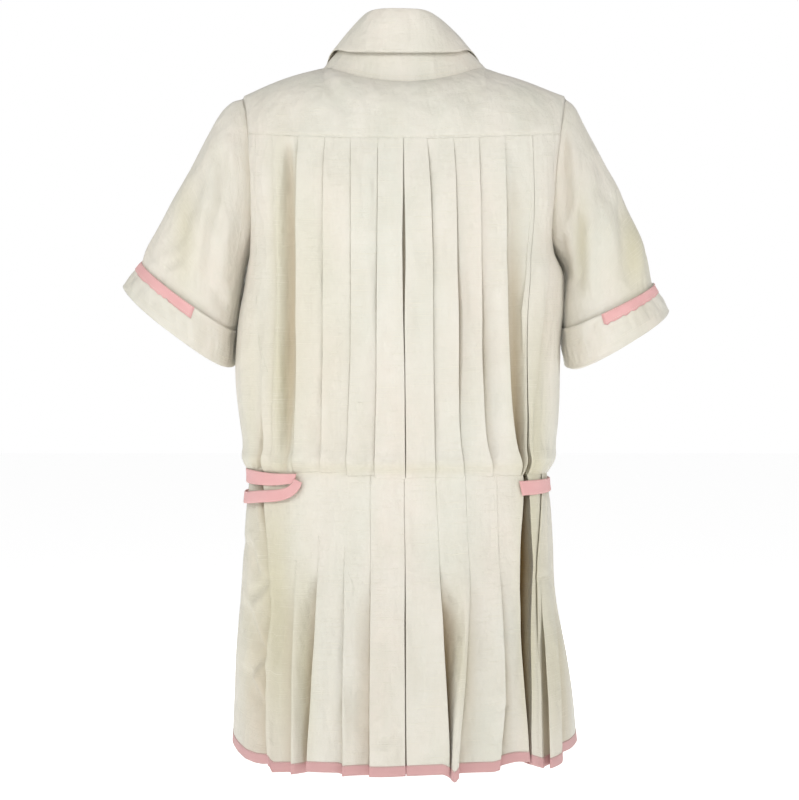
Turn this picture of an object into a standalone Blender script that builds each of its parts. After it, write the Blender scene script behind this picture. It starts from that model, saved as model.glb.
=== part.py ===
"""A short-sleeved silk mini dress with a shirt collar, knife-pleated bodice and skirt.

Metres, +Z up. The wearer faces -Y, so the wearer's left is +X and the back is +Y. The
origin is the middle of the neck opening at the height of the shoulder's neck points,
where the wearer's neck and shoulders carry the dress. It is modelled filled out and
hollow, as it hangs on a figure.

Tables are in millimetres and are turned into metres where they are read.
"""

import math
from collections import namedtuple

import bmesh
import bpy
import numpy as np
from mathutils import Vector

MM = 0.001

# Driving dimensions
CLOTH = 1.2 * MM          # wall of one layer of dress cloth
TAPE = 1.0 * MM           # wall of the pink tape
SEAM_GAP = 0.3 * MM       # between two pieces at a seam
ROUNDNESS = 2.4           # superellipse exponent of the body's sections
TAPE_WIDTH = 14 * MM
BINDING_HEIGHT = 11 * MM
BUTTON_RADIUS = 5.5 * MM
BUTTON_THICKNESS = 2.4 * MM
PLACKET_WIDTH = 27 * MM

# The neck seam: a ring with its back higher than its front.
NECK_HALF_WIDTH = 95 * MM
NECK_BACK_DEPTH = 65 * MM
NECK_BACK_DROP = 26 * MM
NECK_FRONT_DEPTH = 95 * MM
NECK_FRONT_DROP = 88 * MM
NECK_FRONT_CURVE = 1.4    # how quickly the front neck falls from the shoulder

# Heights of the cross seams
SHOULDER_TIP_Z = -37 * MM
BACK_YOKE_Z = -97 * MM    # at the centre back
FRONT_YOKE_Z = -118 * MM
YOKE_RISE = 10 * MM       # how much higher the yoke seams are at the armholes
UNDERARM_Z = -222 * MM
WAIST_Z = -479 * MM
HEM_Z = -797 * MM

# The armhole, seen from the side
ARMHOLE_DEPTH_BACK = 52 * MM
ARMHOLE_DEPTH_FRONT = 56 * MM
EVENING_STEPS = (-36, -24, -12, 0, 12, 24, 36)    # mm above and below, over which it is evened
EVENED_FROM = 0.3         # share of the body's depth from which its end is evened out

# The body's half widths and depths at each height
BODY_COLUMNS = ("z", "left", "right", "back", "front")
BODY = (
    (0, 192, 191, 88, 90),
    (-37, 192, 191, 94, 98),
    (-60, 186, 187, 99, 106),
    (-97, 181, 180, 106, 115),
    (-150, 177, 175, 118, 128),
    (-222, 181, 177, 122, 134),
    (-290, 193, 184, 118, 127),
    (-355, 199, 183.5, 115, 120),
    (-415, 195.5, 181.5, 112, 116),
    (-450, 190, 177, 110, 114),
    (-479, 184.5, 169.5, 107, 110),
    (-520, 187, 173, 109, 110),
    (-562, 189, 175.5, 112, 113),
    (-603, 192, 177, 118, 118),
    (-640, 195.5, 181, 125, 124),
    (-690, 199.5, 191, 136, 134),
    (-745, 201.5, 200.5, 147, 143),
    (-805, 202.5, 205, 157, 151),
)

# Pleat edges of the bodice back. "to" is the side that the fold's edge points to, and the
# lift is how far the edge stands off the next pleat.
Pleat = namedtuple("Pleat", ("name", "to", "x", "lift"))
BODICE_LEVELS = (-97, -224, -337, -416, -479)
BODICE_BACK_PLEATS = (
    ("l5", "left", (151.5, 148, 148, 152, 157), (1.5, 2, 2, 2, 1.5)),
    ("l4", "left", (120.7, 122.6, 122.3, 124.3, 126.2), (2, 6, 6.5, 5, 3)),
    ("l3", "left", (90.3, 92.1, 92.3, 93.9, 95.1), (2, 3.5, 4, 4, 3)),
    ("l2", "left", (60.9, 60.6, 61, 63.4, 65.2), (2, 3, 3.5, 4, 3)),
    ("l1", "left", (30.1, 30.9, 31.8, 32.8, 34), (2, 3.5, 4, 4, 3)),
    ("r1", "right", (-25.6, -31.5, -32.7, -33.9, -35.1), (2, 3.5, 3.5, 4, 3)),
    ("r2", "right", (-55.6, -59.6, -61.3, -62.2, -67.7), (2, 5, 6.5, 5, 3)),
    ("r3", "right", (-84.4, -87, -86.8, -90.7, -100.4), (2, 4, 6, 6, 3)),
    ("r4", "right", (-114.3, -115.7, -117.8, -122.5, -134), (2, 4, 7, 9, 6)),
)
# Grooves run between two fold edges. The centre one is an inverted pleat.
Groove = namedtuple("Groove", ("name", "x", "gape", "depth"))
BODICE_BACK_GROOVES = (
    ("left_side", (171, 172, 172, 169, 165.5), (3, 3, 4, 7, 10), (2, 3, 4, 12, 24)),
    ("centre", (1.2, 0.6, 0, -1.1, -1.1), (1.5, 3.5, 2, 2, 1.5), (3, 6, 6, 6, 4)),
    ("right_side", (-166, -158, -149, -145, -142), (3, 12, 14, 10, 6), (2, 6, 12, 20, 26)),
)
BODICE_FRONT_PLEATS = (
    ("l5", "left", (150, 149, 149, 151, 155), (1.5, 3, 3, 2, 1.5)),
    ("l4", "left", (124, 126, 126, 127, 128), (2, 4, 5, 5, 3)),
    ("l3", "left", (97, 99, 99, 99, 99), (2, 4, 5, 4, 3)),
    ("l2", "left", (70, 72, 72, 72, 71), (2, 3.5, 4, 4, 3)),
    ("l1", "left", (43, 45, 45, 44, 43), (2, 3, 3.5, 4, 3)),
    ("r1", "right", (-43, -45, -46, -45, -43), (2, 3, 3.5, 4, 3)),
    ("r2", "right", (-70, -72, -73, -72, -71), (2, 4, 4, 4, 3)),
    ("r3", "right", (-97, -98, -98, -98, -99), (2, 4, 5, 4, 3)),
    ("r4", "right", (-124, -124, -124, -125, -128), (2, 5, 5, 5, 3)),
    ("r5", "right", (-150, -148, -146, -147, -150), (1.5, 3, 3, 3, 3)),
)
SKIRT_LEVELS = (-479, -551, -600, -662, -727, -805)
SKIRT_BACK_PLEATS = (
    ("l4", "left", (126.5, 126.2, 126.5, 127.5, 127.8, 128.1), (3, 2.5, 3, 6, 8, 8)),
    ("l3", "left", (98.5, 99.4, 100.3, 103.2, 104.9, 107.5), (3, 2.5, 3, 6, 8, 9)),
    ("l2", "left", (67.5, 68.5, 68.9, 69.1, 70.9, 71.5), (3, 2.5, 3, 6, 8, 8)),
    ("l1", "left", (38.5, 39, 38.9, 39.2, 39.6, 39.8), (3, 2.5, 3, 6, 9, 9)),
    ("r2", "right", (-71.7, -71.9, -72.9, -73.6, -70.9, -64), (3, 2.5, 3.5, 9, 12, 13)),
    ("r3", "right", (-105.4, -107.5, -109, -112.4, -112.9, -112.1), (3, 2.5, 3, 7, 8, 9)),
    ("r5", "right", (-157, -159, -160, -158.5, -157.5, -156.5), (2, 2, 3, 5, 7, 8)),
)
SKIRT_BACK_GROOVES = (
    ("left_side", (165, 166, 167, 168, 168, 168), (9, 9, 7, 6, 7, 8), (24, 22, 14, 12, 12, 12)),
    ("centre", (1.1, 0.6, 0, -0.6, -1.1, -1.7), (1.5, 1.5, 2, 3, 3, 4), (4, 4, 5, 8, 10, 10)),
    ("r1", (-36, -39, -42, -46, -47, -48), (1.5, 1.5, 2.5, 7, 8, 11), (3, 3, 4, 13, 16, 16)),
    ("right_side", (-141, -141, -141, -142, -143, -144), (7, 12, 14, 8, 5, 5), (28, 32, 34, 28, 20, 18)),
)
SKIRT_FRONT_PLEATS = (
    ("l4", "left", (127, 128, 129, 130, 131, 132), (3, 2.5, 3, 6, 8, 9)),
    ("l3", "left", (99, 100, 101, 103, 105, 107), (3, 2.5, 3, 6, 8, 8)),
    ("l2", "left", (71, 71, 72, 73, 74, 76), (3, 2.5, 3, 6, 8, 9)),
    ("l1", "left", (43, 43, 43, 44, 44, 45), (3, 2.5, 3, 6, 8, 8)),
    ("r1", "right", (-43, -43, -43, -44, -45, -46), (3, 2.5, 3, 6, 8, 9)),
    ("r2", "right", (-71, -71, -71, -73, -75, -76), (3, 2.5, 3, 6, 9, 9)),
    ("r3", "right", (-99, -99, -100, -103, -105, -107), (3, 2.5, 3, 6, 8, 9)),
    ("r4", "right", (-127, -127, -127, -130, -132, -133), (3, 2.5, 3, 6, 8, 8)),
)
SKIRT_FRONT_GROOVES = (
    ("right_side", (-154, -154, -155, -160, -164, -166), (6, 6, 6, 7, 8, 9), (14, 14, 12, 12, 12, 12)),
    ("centre", (0, 0, 0, 0, 0, 0), (1.5, 1.5, 2, 3, 4, 5), (4, 4, 5, 9, 12, 12)),
    ("left_side", (163, 163, 163, 164, 166, 167), (6, 6, 6, 7, 8, 9), (14, 14, 12, 12, 12, 12)),
)

BODICE_ROWS = (0, 0.035, 0.11, 0.22, 0.33, 0.47, 0.62, 0.76, 0.88, 0.955, 1)
# The bodice swells just above the waist seam: fraction of the way down, mm out
BLOUSING = ((0, 0), (0.88, 0), (0.955, 3.0), (1, 1.0))
SKIRT_ROWS = (0, 0.12, 0.37, 0.46, 0.58, 0.71, 0.85)
UNDERCUT = 0.45           # how far a knife pleat turns back under its edge, in lifts
GROOVE_LIFT = 2 * MM      # how far a groove's two edges stand off the body
GROOVE_FLOOR = 0.8        # the width of a groove's floor, as a share of its mouth
LONGEST_MITRE = 2.6       # in walls, at a pleat's sharp edge

# How much lower than HEM_Z the hem hangs, from the wearer's left to the right
HEM_BACK = (
    (202, -3), (184, 9), (168, 7), (151, 5), (147, 13), (121, 6), (104, 2), (71, 4), (60, 9),
    (2, 7), (-42, 7), (-54, 15), (-83, 8), (-110, 4), (-123, 0), (-142, 3), (-164, 9),
    (-177, 5), (-202, 2),
)
HEM_FRONT = (
    (202, -3), (165, 5), (126, 5), (104, 8), (72, 6), (44, 9), (0, 9), (-46, 8), (-74, 10),
    (-106, 7), (-132, 9), (-166, 5), (-202, 2),
)

# Sleeves: where the outer and the inner edge lie, and half the depth front to back. The sag
# is how much lower the back of the ring hangs than its front.
Ring = namedtuple("Ring", ("outer_x", "outer_z", "inner_x", "inner_z", "depth", "sag"))
SLEEVE_LEFT = (
    (192, -37, 181, -222, 54, 0),
    (207, -43, 183, -228, 56, 0),
    (224, -63, 186, -239, 58, 0),
    (250.5, -112, 190, -259, 60, 1),
    (275.5, -159, 194, -279, 60, 3),
    (303, -209, 198, -300, 57, 5),
    (312, -232, 200.5, -311, 55, 6),
)
CUFF_LEFT = (
    (311.5, -234, 200.5, -310.5, 57, 6),
    (321, -247, 202.5, -331, 60, 8),
    (331, -259, 204.5, -353, 62, 10),
    (327, -260, 207.5, -353, 59, 10),
)
SLEEVE_RIGHT = (
    (191, -37, 177, -222, 54, 0),
    (204, -48, 181, -230, 56, 0),
    (219, -78, 188, -247, 58, 0),
    (244.5, -128, 187, -268, 60, 1),
    (264, -168, 186, -284, 60, 3),
    (283, -211, 186.5, -299, 57, 5),
    (291, -243, 187, -309, 55, 6),
)
CUFF_RIGHT = (
    (291.5, -246, 187, -308, 57, 6),
    (300.5, -265, 188, -329, 60, 8),
    (311.5, -288, 189.5, -353, 62, 10),
    (307, -289, 193.5, -354, 59, 10),
)
CUFF_STANDOFF = 2.6 * MM
SLEEVE_SIDES = 28
ARMHOLE_PULL = (1.0, 0.6, 0.25)   # how far a sleeve's first rings follow the armhole
SLEEVE_TUCK = 0.86        # how far the sleeve's end reaches down inside its cuff
STRIP_FROM, STRIP_TO = -5, 8      # the tape on a cuff, in sides counted from the outer edge
STRIP_TOP, STRIP_FOOT = 0.03, 0.63   # its edges, as shares of the cuff's first band

# Waist tapes: where each starts and ends round the body, in degrees from the centre back
# towards the wearer's left, and its height at the back and at the side.
WAIST_TAPES = (
    ("left_upper", 137, 43, -485, -482.5),
    ("left_lower", 137, 41, -500.5, -508),
    ("right", -47, -137, -491.5, -491.5),
)
TAPE_STEPS = 12
TAPE_STANDOFF = 5.1 * MM
TAPE_STANDOFF_AT_SIDE = 4.6 * MM
BUTTON_HEIGHTS = (-145, -222, -300, -378, -452)
BUTTON_STANDOFF = 2 * SEAM_GAP
BUTTON_EDGE = 0.7 * MM

# The collar: 0 degrees is the centre back, + is towards the wearer's left.
COLLAR_COLUMNS = ("angle", "fold_x", "fold_y", "fold_z", "edge_x", "edge_y", "edge_z")
COLLAR = (
    (-180, -8, -97, -68, -52, -128, -124),
    (-150, -29, -71, -8, -90, -97, -48),
    (-125, -42, -43, 28, -97, -60, -9),
    (-100, -48, -16, 45, -90, -16, 7),
    (-75, -46, 8, 51, -76, 24, 18),
    (-50, -36, 30, 56, -59, 52, 12),
    (-25, -22, 46, 60, -34, 67, 9),
    (0, 0, 50, 61, 0, 72, 8),
    (25, 26, 46, 61.5, 36, 67, 9),
    (50, 41, 30, 61, 62, 52, 12),
    (75, 49, 8, 57, 82, 24, 18),
    (100, 50, -16, 49, 92, -16, 7),
    (125, 43, -43, 29, 99, -60, -9),
    (150, 29, -71, -8, 92, -97, -48),
    (180, 8, -97, -68, 52, -128, -124),
)
COLLAR_STEPS = 24
COLLAR_END = math.radians(176)   # each way from the centre back
COLLAR_BEND = 2 * MM      # how round the collar's fold is
LEAF_STANDOFF = 1.5 * MM  # from the stand, at the fold
STAND_BOW = 4 * MM
STAND_DROP = 2.2 * MM     # of the stand's top below the fold

YOKE_STEPS = 6
YOKE_LIFT = 2 * MM        # how far the yoke's seam stands off the body, like the pleats
YOKE_SHARES = (1, 0.98, 0.9, 0.75, 0.5, 0.3, 0.145)   # of the neck's half width
YOKE_SIDE_STEPS = 5       # from the armhole to the neck point
SHOULDER_BOW = {"left": 5 * MM, "right": 1 * MM}      # above a straight shoulder line


def smooth(levels, values, at):
    """A smooth curve through the values, level beyond the ends."""
    order = np.argsort(levels)
    xs = np.asarray(levels, float)[order]
    ys = np.asarray(values, float)[order]
    slope = np.gradient(ys, xs)
    at = min(max(at, xs[0]), xs[-1])
    i = min(int(np.searchsorted(xs, at, side="right")) - 1, len(xs) - 2)
    width = xs[i + 1] - xs[i]
    t = (at - xs[i]) / width
    return (
        (2 * t**3 - 3 * t**2 + 1) * ys[i]
        + (t**3 - 2 * t**2 + t) * width * slope[i]
        + (3 * t**2 - 2 * t**3) * ys[i + 1]
        + (t**3 - t**2) * width * slope[i + 1]
    )


def body_size(column, z):
    """One of the body's sizes in metres at a height in metres."""
    place = BODY_COLUMNS.index(column)
    return smooth([row[0] for row in BODY], [row[place] for row in BODY], z / MM) * MM


def armhole(side, z):
    """Depth of the armhole seam at a height, on the back (side 1) or the front (side -1)."""
    middle = (SHOULDER_TIP_Z + UNDERARM_Z) / 2
    reach = (SHOULDER_TIP_Z - UNDERARM_Z) / 2
    share = max(0.0, 1 - ((z - middle) / reach) ** 2)
    depth = ARMHOLE_DEPTH_BACK if side > 0 else ARMHOLE_DEPTH_FRONT
    return side * depth * math.sqrt(share)


def section_point(side, angle, z):
    """A point of the body's section: angle 0 is the centre, +90 degrees the wearer's left.

    Away from the side the armhole's end is evened out, so that it leaves no step."""
    half = body_size("left" if angle > 0 else "right", z)
    depth = body_size("back" if side > 0 else "front", z)
    power = 2 / ROUNDNESS
    share = max(0.0, math.cos(angle)) ** power
    even = sum(abs(armhole(side, z + step * MM)) for step in EVENING_STEPS) / len(EVENING_STEPS)
    inward = min(1.0, share / EVENED_FROM)
    inward *= inward * (3 - 2 * inward)
    seam = max(abs(armhole(side, z)) * (1 - inward) + even * inward, SEAM_GAP / 2)
    x = math.copysign(half * abs(math.sin(angle)) ** power, angle)
    y = side * (seam + (depth - seam) * share)
    return Vector((x, y, z))


def section_angle(x, z):
    half = body_size("left" if x > 0 else "right", z)
    share = min(abs(x) / half, 0.9995)
    return math.copysign(math.asin(share ** (ROUNDNESS / 2)), x)


def section_normal(side, angle, z):
    step = 0.01
    low = max(angle - step, -math.pi / 2)
    high = min(angle + step, math.pi / 2)
    along = section_point(side, high, z) - section_point(side, low, z)
    return Vector((-along.y, along.x, 0)).normalized() * side


def knife_marks(row, levels, z):
    """Two corners of a knife pleat: under the fold, and the fold's edge."""
    pleat = Pleat(*row)
    x = smooth(levels, pleat.x, z / MM) * MM
    lift = smooth(levels, pleat.lift, z / MM) * MM
    outwards = 1 if pleat.to == "left" else -1
    under = (x - outwards * UNDERCUT * lift, 0)
    edge = (x, lift)
    return [under, edge] if outwards > 0 else [edge, under]


def groove_marks(row, levels, z):
    """Four corners of a groove: an edge, two corners of its floor, and the other edge."""
    groove = Groove(*row)
    x = smooth(levels, groove.x, z / MM) * MM
    mouth = smooth(levels, groove.gape, z / MM) * MM / 2
    floor = GROOVE_FLOOR * mouth
    low = GROOVE_LIFT - smooth(levels, groove.depth, z / MM) * MM
    return [(x + mouth, GROOVE_LIFT), (x + floor, low), (x - floor, low), (x - mouth, GROOVE_LIFT)]


def pleated_section(side, z, pleats, grooves, levels, start, end, faces):
    """Corners of a pleated section as (angle, height off the body), from start to end."""
    marks = []
    for row in pleats:
        marks.append(knife_marks(row, levels, z))
    for row in grooves:
        marks.append(groove_marks(row, levels, z))
    marks.sort(key=lambda group: -group[0][0])
    corners = [(start, 0.0)]
    for group in marks:
        first = (section_angle(group[0][0], z), group[0][1])
        last = corners[-1]
        for i in range(1, faces):
            share = i / faces
            corners.append(tuple(a + (b - a) * share for a, b in zip(last, first)))
        corners.append(first)
        corners += [(section_angle(x, z), height) for x, height in group[1:]]
    last = corners[-1]
    for i in range(1, faces + 1):
        share = i / faces
        corners.append((last[0] + (end - last[0]) * share, last[1] * (1 - share)))
    return corners


def collection():
    found = bpy.data.collections.new("silk_mini_dress")
    bpy.context.scene.collection.children.link(found)
    return found


def material(name, colour, roughness, sheen=0.0):
    made = bpy.data.materials.new(name)
    made.use_nodes = True
    shader = made.node_tree.nodes["Principled BSDF"]
    shader.inputs["Base Color"].default_value = (*colour, 1)
    shader.inputs["Roughness"].default_value = roughness
    shader.inputs["Metallic"].default_value = 0
    shader.inputs["Sheen Weight"].default_value = sheen
    made.diffuse_color = (*colour, 1)
    return made


def sheet(name, rows, wall, closed=False, flip=False):
    """A lofted sheet through rows of points, with its thickness on the inner side."""
    mesh = bpy.data.meshes.new(name)
    work = bmesh.new()
    grid = [[work.verts.new(point) for point in row] for row in rows]
    across = len(grid[0])
    for upper, lower in zip(grid, grid[1:]):
        for i in range(across if closed else across - 1):
            j = (i + 1) % across
            corners = [upper[i], lower[i], lower[j], upper[j]]
            work.faces.new(corners[::-1] if flip else corners)
    work.to_mesh(mesh)
    work.free()
    thing = bpy.data.objects.new(name, mesh)
    DRESS.objects.link(thing)
    thick = thing.modifiers.new("wall", "SOLIDIFY")
    thick.thickness = wall
    thick.offset = -1
    thick.use_even_offset = True
    thick.use_quality_normals = True
    mesh.shade_smooth()
    mesh.set_sharp_from_angle(angle=math.radians(35))
    return thing


def level_end(normal, wall):
    """The shift of a panel's end, which is cut along X at a side seam and along Y elsewhere."""
    if abs(normal.x) > abs(normal.y):
        return Vector((wall / normal.x, 0, 0))
    return Vector((0, wall / normal.y, 0))


def inner_row(row, wall, side):
    """The row again, moved level to the inner side by the wall, with mitred corners."""
    flat = [Vector((point.x, point.y)) for point in row]
    moved = []
    for i, point in enumerate(flat):
        normals = []
        for a, b in ((i - 1, i), (i, i + 1)):
            if a >= 0 and b < len(flat):
                along = (flat[b] - flat[a]).normalized()
                normals.append(Vector((-along.y, along.x)) * side)
        if len(normals) == 1:
            moved.append(row[i] + level_end(normals[0], wall))
            continue
        mitre = sum(normals, Vector((0, 0))) / 2
        if mitre.length < 1 / LONGEST_MITRE:
            mitre = mitre.normalized() / LONGEST_MITRE
        shift = mitre / mitre.length_squared * wall
        moved.append(Vector((point.x + shift.x, point.y + shift.y, row[i].z)))
    return moved


def panel(name, rows, wall, side, finish):
    """A closed wall through level rows: the rows are its outer side."""
    layers = (rows, [inner_row(row, wall, side) for row in rows])
    work = bmesh.new()
    outer, inner = [[[work.verts.new(point) for point in row] for row in layer] for layer in layers]
    deep, wide = len(rows), len(rows[0])
    quads = []
    for r in range(deep - 1):
        for i in range(wide - 1):
            quads.append((outer[r][i], outer[r + 1][i], outer[r + 1][i + 1], outer[r][i + 1]))
            quads.append((inner[r][i], inner[r][i + 1], inner[r + 1][i + 1], inner[r + 1][i]))
        quads.append((outer[r][0], inner[r][0], inner[r + 1][0], outer[r + 1][0]))
        quads.append((outer[r][-1], outer[r + 1][-1], inner[r + 1][-1], inner[r][-1]))
    for i in range(wide - 1):
        quads.append((outer[0][i], outer[0][i + 1], inner[0][i + 1], inner[0][i]))
        quads.append((outer[-1][i], inner[-1][i], inner[-1][i + 1], outer[-1][i + 1]))
    for quad in quads:
        work.faces.new(quad if side > 0 else quad[::-1])
    mesh = bpy.data.meshes.new(name)
    work.to_mesh(mesh)
    work.free()
    mesh.materials.append(finish)
    mesh.shade_smooth()
    mesh.set_sharp_from_angle(angle=math.radians(35))
    thing = bpy.data.objects.new(name, mesh)
    DRESS.objects.link(thing)
    return thing


def lifted(rows, distance):
    """Rows moved out along the sheet's own normals, which point to the right of its rows."""
    moved = []
    for r, row in enumerate(rows):
        down = [b - a for a, b in zip(rows[max(r - 1, 0)], rows[min(r + 1, len(rows) - 1)])]
        new = []
        for i, point in enumerate(row):
            across = row[min(i + 1, len(row) - 1)] - row[max(i - 1, 0)]
            new.append(point + down[i].cross(across).normalized() * distance)
        moved.append(new)
    return moved


def blousing(share):
    return float(np.interp(share, *zip(*BLOUSING))) * MM


def bodice_rows(side, pleats, grooves, start, end):
    """Rows of a bodice panel from the yoke seam to the waist seam."""
    top = BACK_YOKE_Z if side > 0 else FRONT_YOKE_Z
    rows = []
    for share in BODICE_ROWS:
        z = top + (WAIST_Z - top) * share
        row = []
        section = pleated_section(side, z, pleats, grooves, BODICE_LEVELS, start, end, 2)
        for angle, height in section:
            rise = YOKE_RISE * (math.sin(angle) ** 2) * (1 - share)
            here = z + rise - SEAM_GAP * (share == 0)
            point = section_point(side, angle, here)
            normal = section_normal(side, angle, here)
            row.append(point + normal * (height + blousing(share)))
        rows.append(row)
    return rows


def half_angle(side_of_body, z):
    """The angle where a front half ends, just short of the centre front."""
    return math.copysign(abs(section_angle(SEAM_GAP / 2, z)), side_of_body)


def build_bodice():
    quarter = math.pi / 2
    rows = bodice_rows(1, BODICE_BACK_PLEATS, BODICE_BACK_GROOVES, quarter, -quarter)
    panel("back_bodice", rows, CLOTH, 1, IVORY)
    left = [row for row in BODICE_FRONT_PLEATS if row[1] == "left"]
    right = [row for row in BODICE_FRONT_PLEATS if row[1] == "right"]
    edge = half_angle(1, FRONT_YOKE_Z)
    for name, pleats, start, end in (
        ("front_bodice_left", left, quarter, edge),
        ("front_bodice_right", right, -edge, -quarter),
    ):
        rows = bodice_rows(-1, pleats, (), start, end)
        panel(name, rows, CLOTH, -1, IVORY)


def neck_point(angle):
    """The neck seam: angle 0 at the centre back, 180 degrees at the centre front."""
    x = NECK_HALF_WIDTH * math.sin(angle)
    c = math.cos(angle)
    if c >= 0:
        return Vector((x, NECK_BACK_DEPTH * c, -NECK_BACK_DROP * c * c))
    return Vector((x, NECK_FRONT_DEPTH * c, -NECK_FRONT_DROP * abs(c) ** NECK_FRONT_CURVE))


def yoke_top(side, x, half):
    """A point of the yoke's top edge: the neck seam, or the shoulder line beyond it."""
    if abs(x) < NECK_HALF_WIDTH - 0.001 * MM:
        angle = math.asin(x / NECK_HALF_WIDTH)
        return neck_point(angle if side > 0 else math.pi - angle)
    body_side = "left" if x > 0 else "right"
    tip = body_size(body_side, SHOULDER_TIP_Z)
    share = (abs(x) - NECK_HALF_WIDTH) / (half - NECK_HALF_WIDTH)
    reach = NECK_HALF_WIDTH + (tip - NECK_HALF_WIDTH) * share
    bow = SHOULDER_BOW[body_side] * math.sin(math.pi * min(share, 1.0))
    return Vector((math.copysign(reach, x), side * SEAM_GAP, SHOULDER_TIP_Z * share + bow))


def yoke_rows(side, angles):
    """Rows of a yoke from its shoulder and neck edge down to the pleats' seam."""
    seam = BACK_YOKE_Z if side > 0 else FRONT_YOKE_Z
    rows = []
    for step in range(YOKE_STEPS + 1):
        v = 1 - step / YOKE_STEPS
        row = []
        for angle in angles:
            z = seam + YOKE_RISE * math.sin(angle) ** 2 + SEAM_GAP
            base = section_point(side, angle, z)
            low = base + section_normal(side, angle, z) * YOKE_LIFT * math.cos(angle)
            half = body_size("left" if angle > 0 else "right", z)
            high = yoke_top(side, base.x, half)
            if abs(abs(angle) - math.pi / 2) < 1e-6:
                here = z + (SHOULDER_TIP_Z - z) * v
                reach = body_size("left" if angle > 0 else "right", here)
                y = side * max(abs(armhole(side, here)), SEAM_GAP)
                row.append(Vector((math.copysign(reach, angle), y, here)))
                continue
            near_neck = min(1.0, abs(base.x) / NECK_HALF_WIDTH)
            middle = Vector((
                low.x + (high.x - low.x) * 0.4,
                high.y + (low.y - high.y) * 0.9,
                low.z + (high.z - low.z) * (0.85 + 0.15 * near_neck**4),
            ))
            row.append(low * (1 - v) ** 2 + middle * 2 * v * (1 - v) + high * v * v)
        rows.append(row)
    return rows


def yoke_angles(side, body_side):
    """Angles from the armhole to the centre, one of them at the neck point."""
    seam = BACK_YOKE_Z if side > 0 else FRONT_YOKE_Z
    neck = []
    for share in YOKE_SHARES:
        x = share * NECK_HALF_WIDTH * body_side
        angle = section_angle(x, seam)
        for _ in range(3):
            angle = section_angle(x, seam + YOKE_RISE * math.sin(angle) ** 2 + SEAM_GAP)
        neck.append(angle)
    outer = body_side * math.pi / 2
    steps = YOKE_SIDE_STEPS
    return [outer + (neck[0] - outer) * i / steps for i in range(steps)] + neck


def build_yokes():
    angles = yoke_angles(1, 1) + [0.0] + yoke_angles(1, -1)[::-1]
    back = sheet("back_yoke", yoke_rows(1, angles), CLOTH)
    back.data.materials.append(IVORY)
    edge = half_angle(1, FRONT_YOKE_Z)
    for name, chosen in (
        ("front_yoke_left", yoke_angles(-1, 1) + [edge]),
        ("front_yoke_right", [-edge] + yoke_angles(-1, -1)[::-1]),
    ):
        front = sheet(name, yoke_rows(-1, chosen), CLOTH, flip=True)
        front.data.materials.append(IVORY)


def collar_at(angle, kind):
    """A point of the collar's fold or of the leaf's edge."""
    levels = [row[0] for row in COLLAR]
    first = COLLAR_COLUMNS.index(kind + "_x")
    columns = [[row[first + i] for row in COLLAR] for i in range(3)]
    return Vector([smooth(levels, column, math.degrees(angle)) for column in columns]) * MM


def build_collar():
    angles = [COLLAR_END * (1 - 2 * i / COLLAR_STEPS) for i in range(COLLAR_STEPS + 1)]
    stand = []
    for v in (1, 0.85, 0.6, 0.3, 0):
        row = []
        for angle in angles:
            seam = neck_point(angle)
            seam -= Vector((seam.x, seam.y, 0)).normalized() * (CLOTH + 2 * SEAM_GAP)
            top = collar_at(angle, "fold") - Vector((0, 0, STAND_DROP))
            bow = Vector((0, 0, STAND_BOW * math.sin(math.pi * v)))
            row.append(seam.lerp(top, v) + bow)
        stand.append(row)
    made = sheet("collar_stand", stand, CLOTH)
    made.data.materials.append(IVORY)
    leaf = []
    for v in (0, 0.06, 0.2, 0.45, 0.75, 1):
        row = []
        for angle in angles:
            fold = collar_at(angle, "fold")
            edge = collar_at(angle, "edge")
            out = Vector((fold.x, fold.y, 0)).normalized()
            bow = (out + Vector((0, 0, 0.7))) * COLLAR_BEND * math.sin(math.pi * v**0.6)
            row.append(fold.lerp(edge, v) + out * LEAF_STANDOFF + bow)
        leaf.append(row)
    made = sheet("collar_leaf", leaf, CLOTH)
    made.data.materials.append(IVORY)


def ring_of(row, mirror=1, grow=0.0):
    """A closed ring of a sleeve, from its outer edge round the back to its inner edge."""
    size = Ring(*row)
    outer = Vector((size.outer_x * mirror, 0, size.outer_z)) * MM
    inner = Vector((size.inner_x * mirror, 0, size.inner_z)) * MM
    centre = (outer + inner) / 2
    half = (outer - inner) / 2
    half += half.normalized() * grow
    depth = Vector((0, size.depth * MM + grow, 0))
    down = Vector((half.z, 0, -half.x)).normalized() * mirror * size.sag * MM
    ring = []
    for i in range(SLEEVE_SIDES):
        turn = 2 * math.pi * i / SLEEVE_SIDES
        ring.append(centre + half * math.cos(turn) + (depth + down) * math.sin(turn))
    return ring


def armhole_ring(mirror):
    """The armhole seam as a ring that matches the sleeve's rings, just outside the body."""
    side = "left" if mirror > 0 else "right"
    middle = (SHOULDER_TIP_Z + UNDERARM_Z) / 2
    reach = (SHOULDER_TIP_Z - UNDERARM_Z) / 2
    ring = []
    for i in range(SLEEVE_SIDES):
        turn = 2 * math.pi * i / SLEEVE_SIDES
        z = middle + reach * math.cos(turn)
        depth = ARMHOLE_DEPTH_BACK if math.sin(turn) > 0 else ARMHOLE_DEPTH_FRONT
        x = body_size(side, z) + 2 * SEAM_GAP
        ring.append(Vector((x * mirror, depth * math.sin(turn), z)))
    return ring


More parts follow.
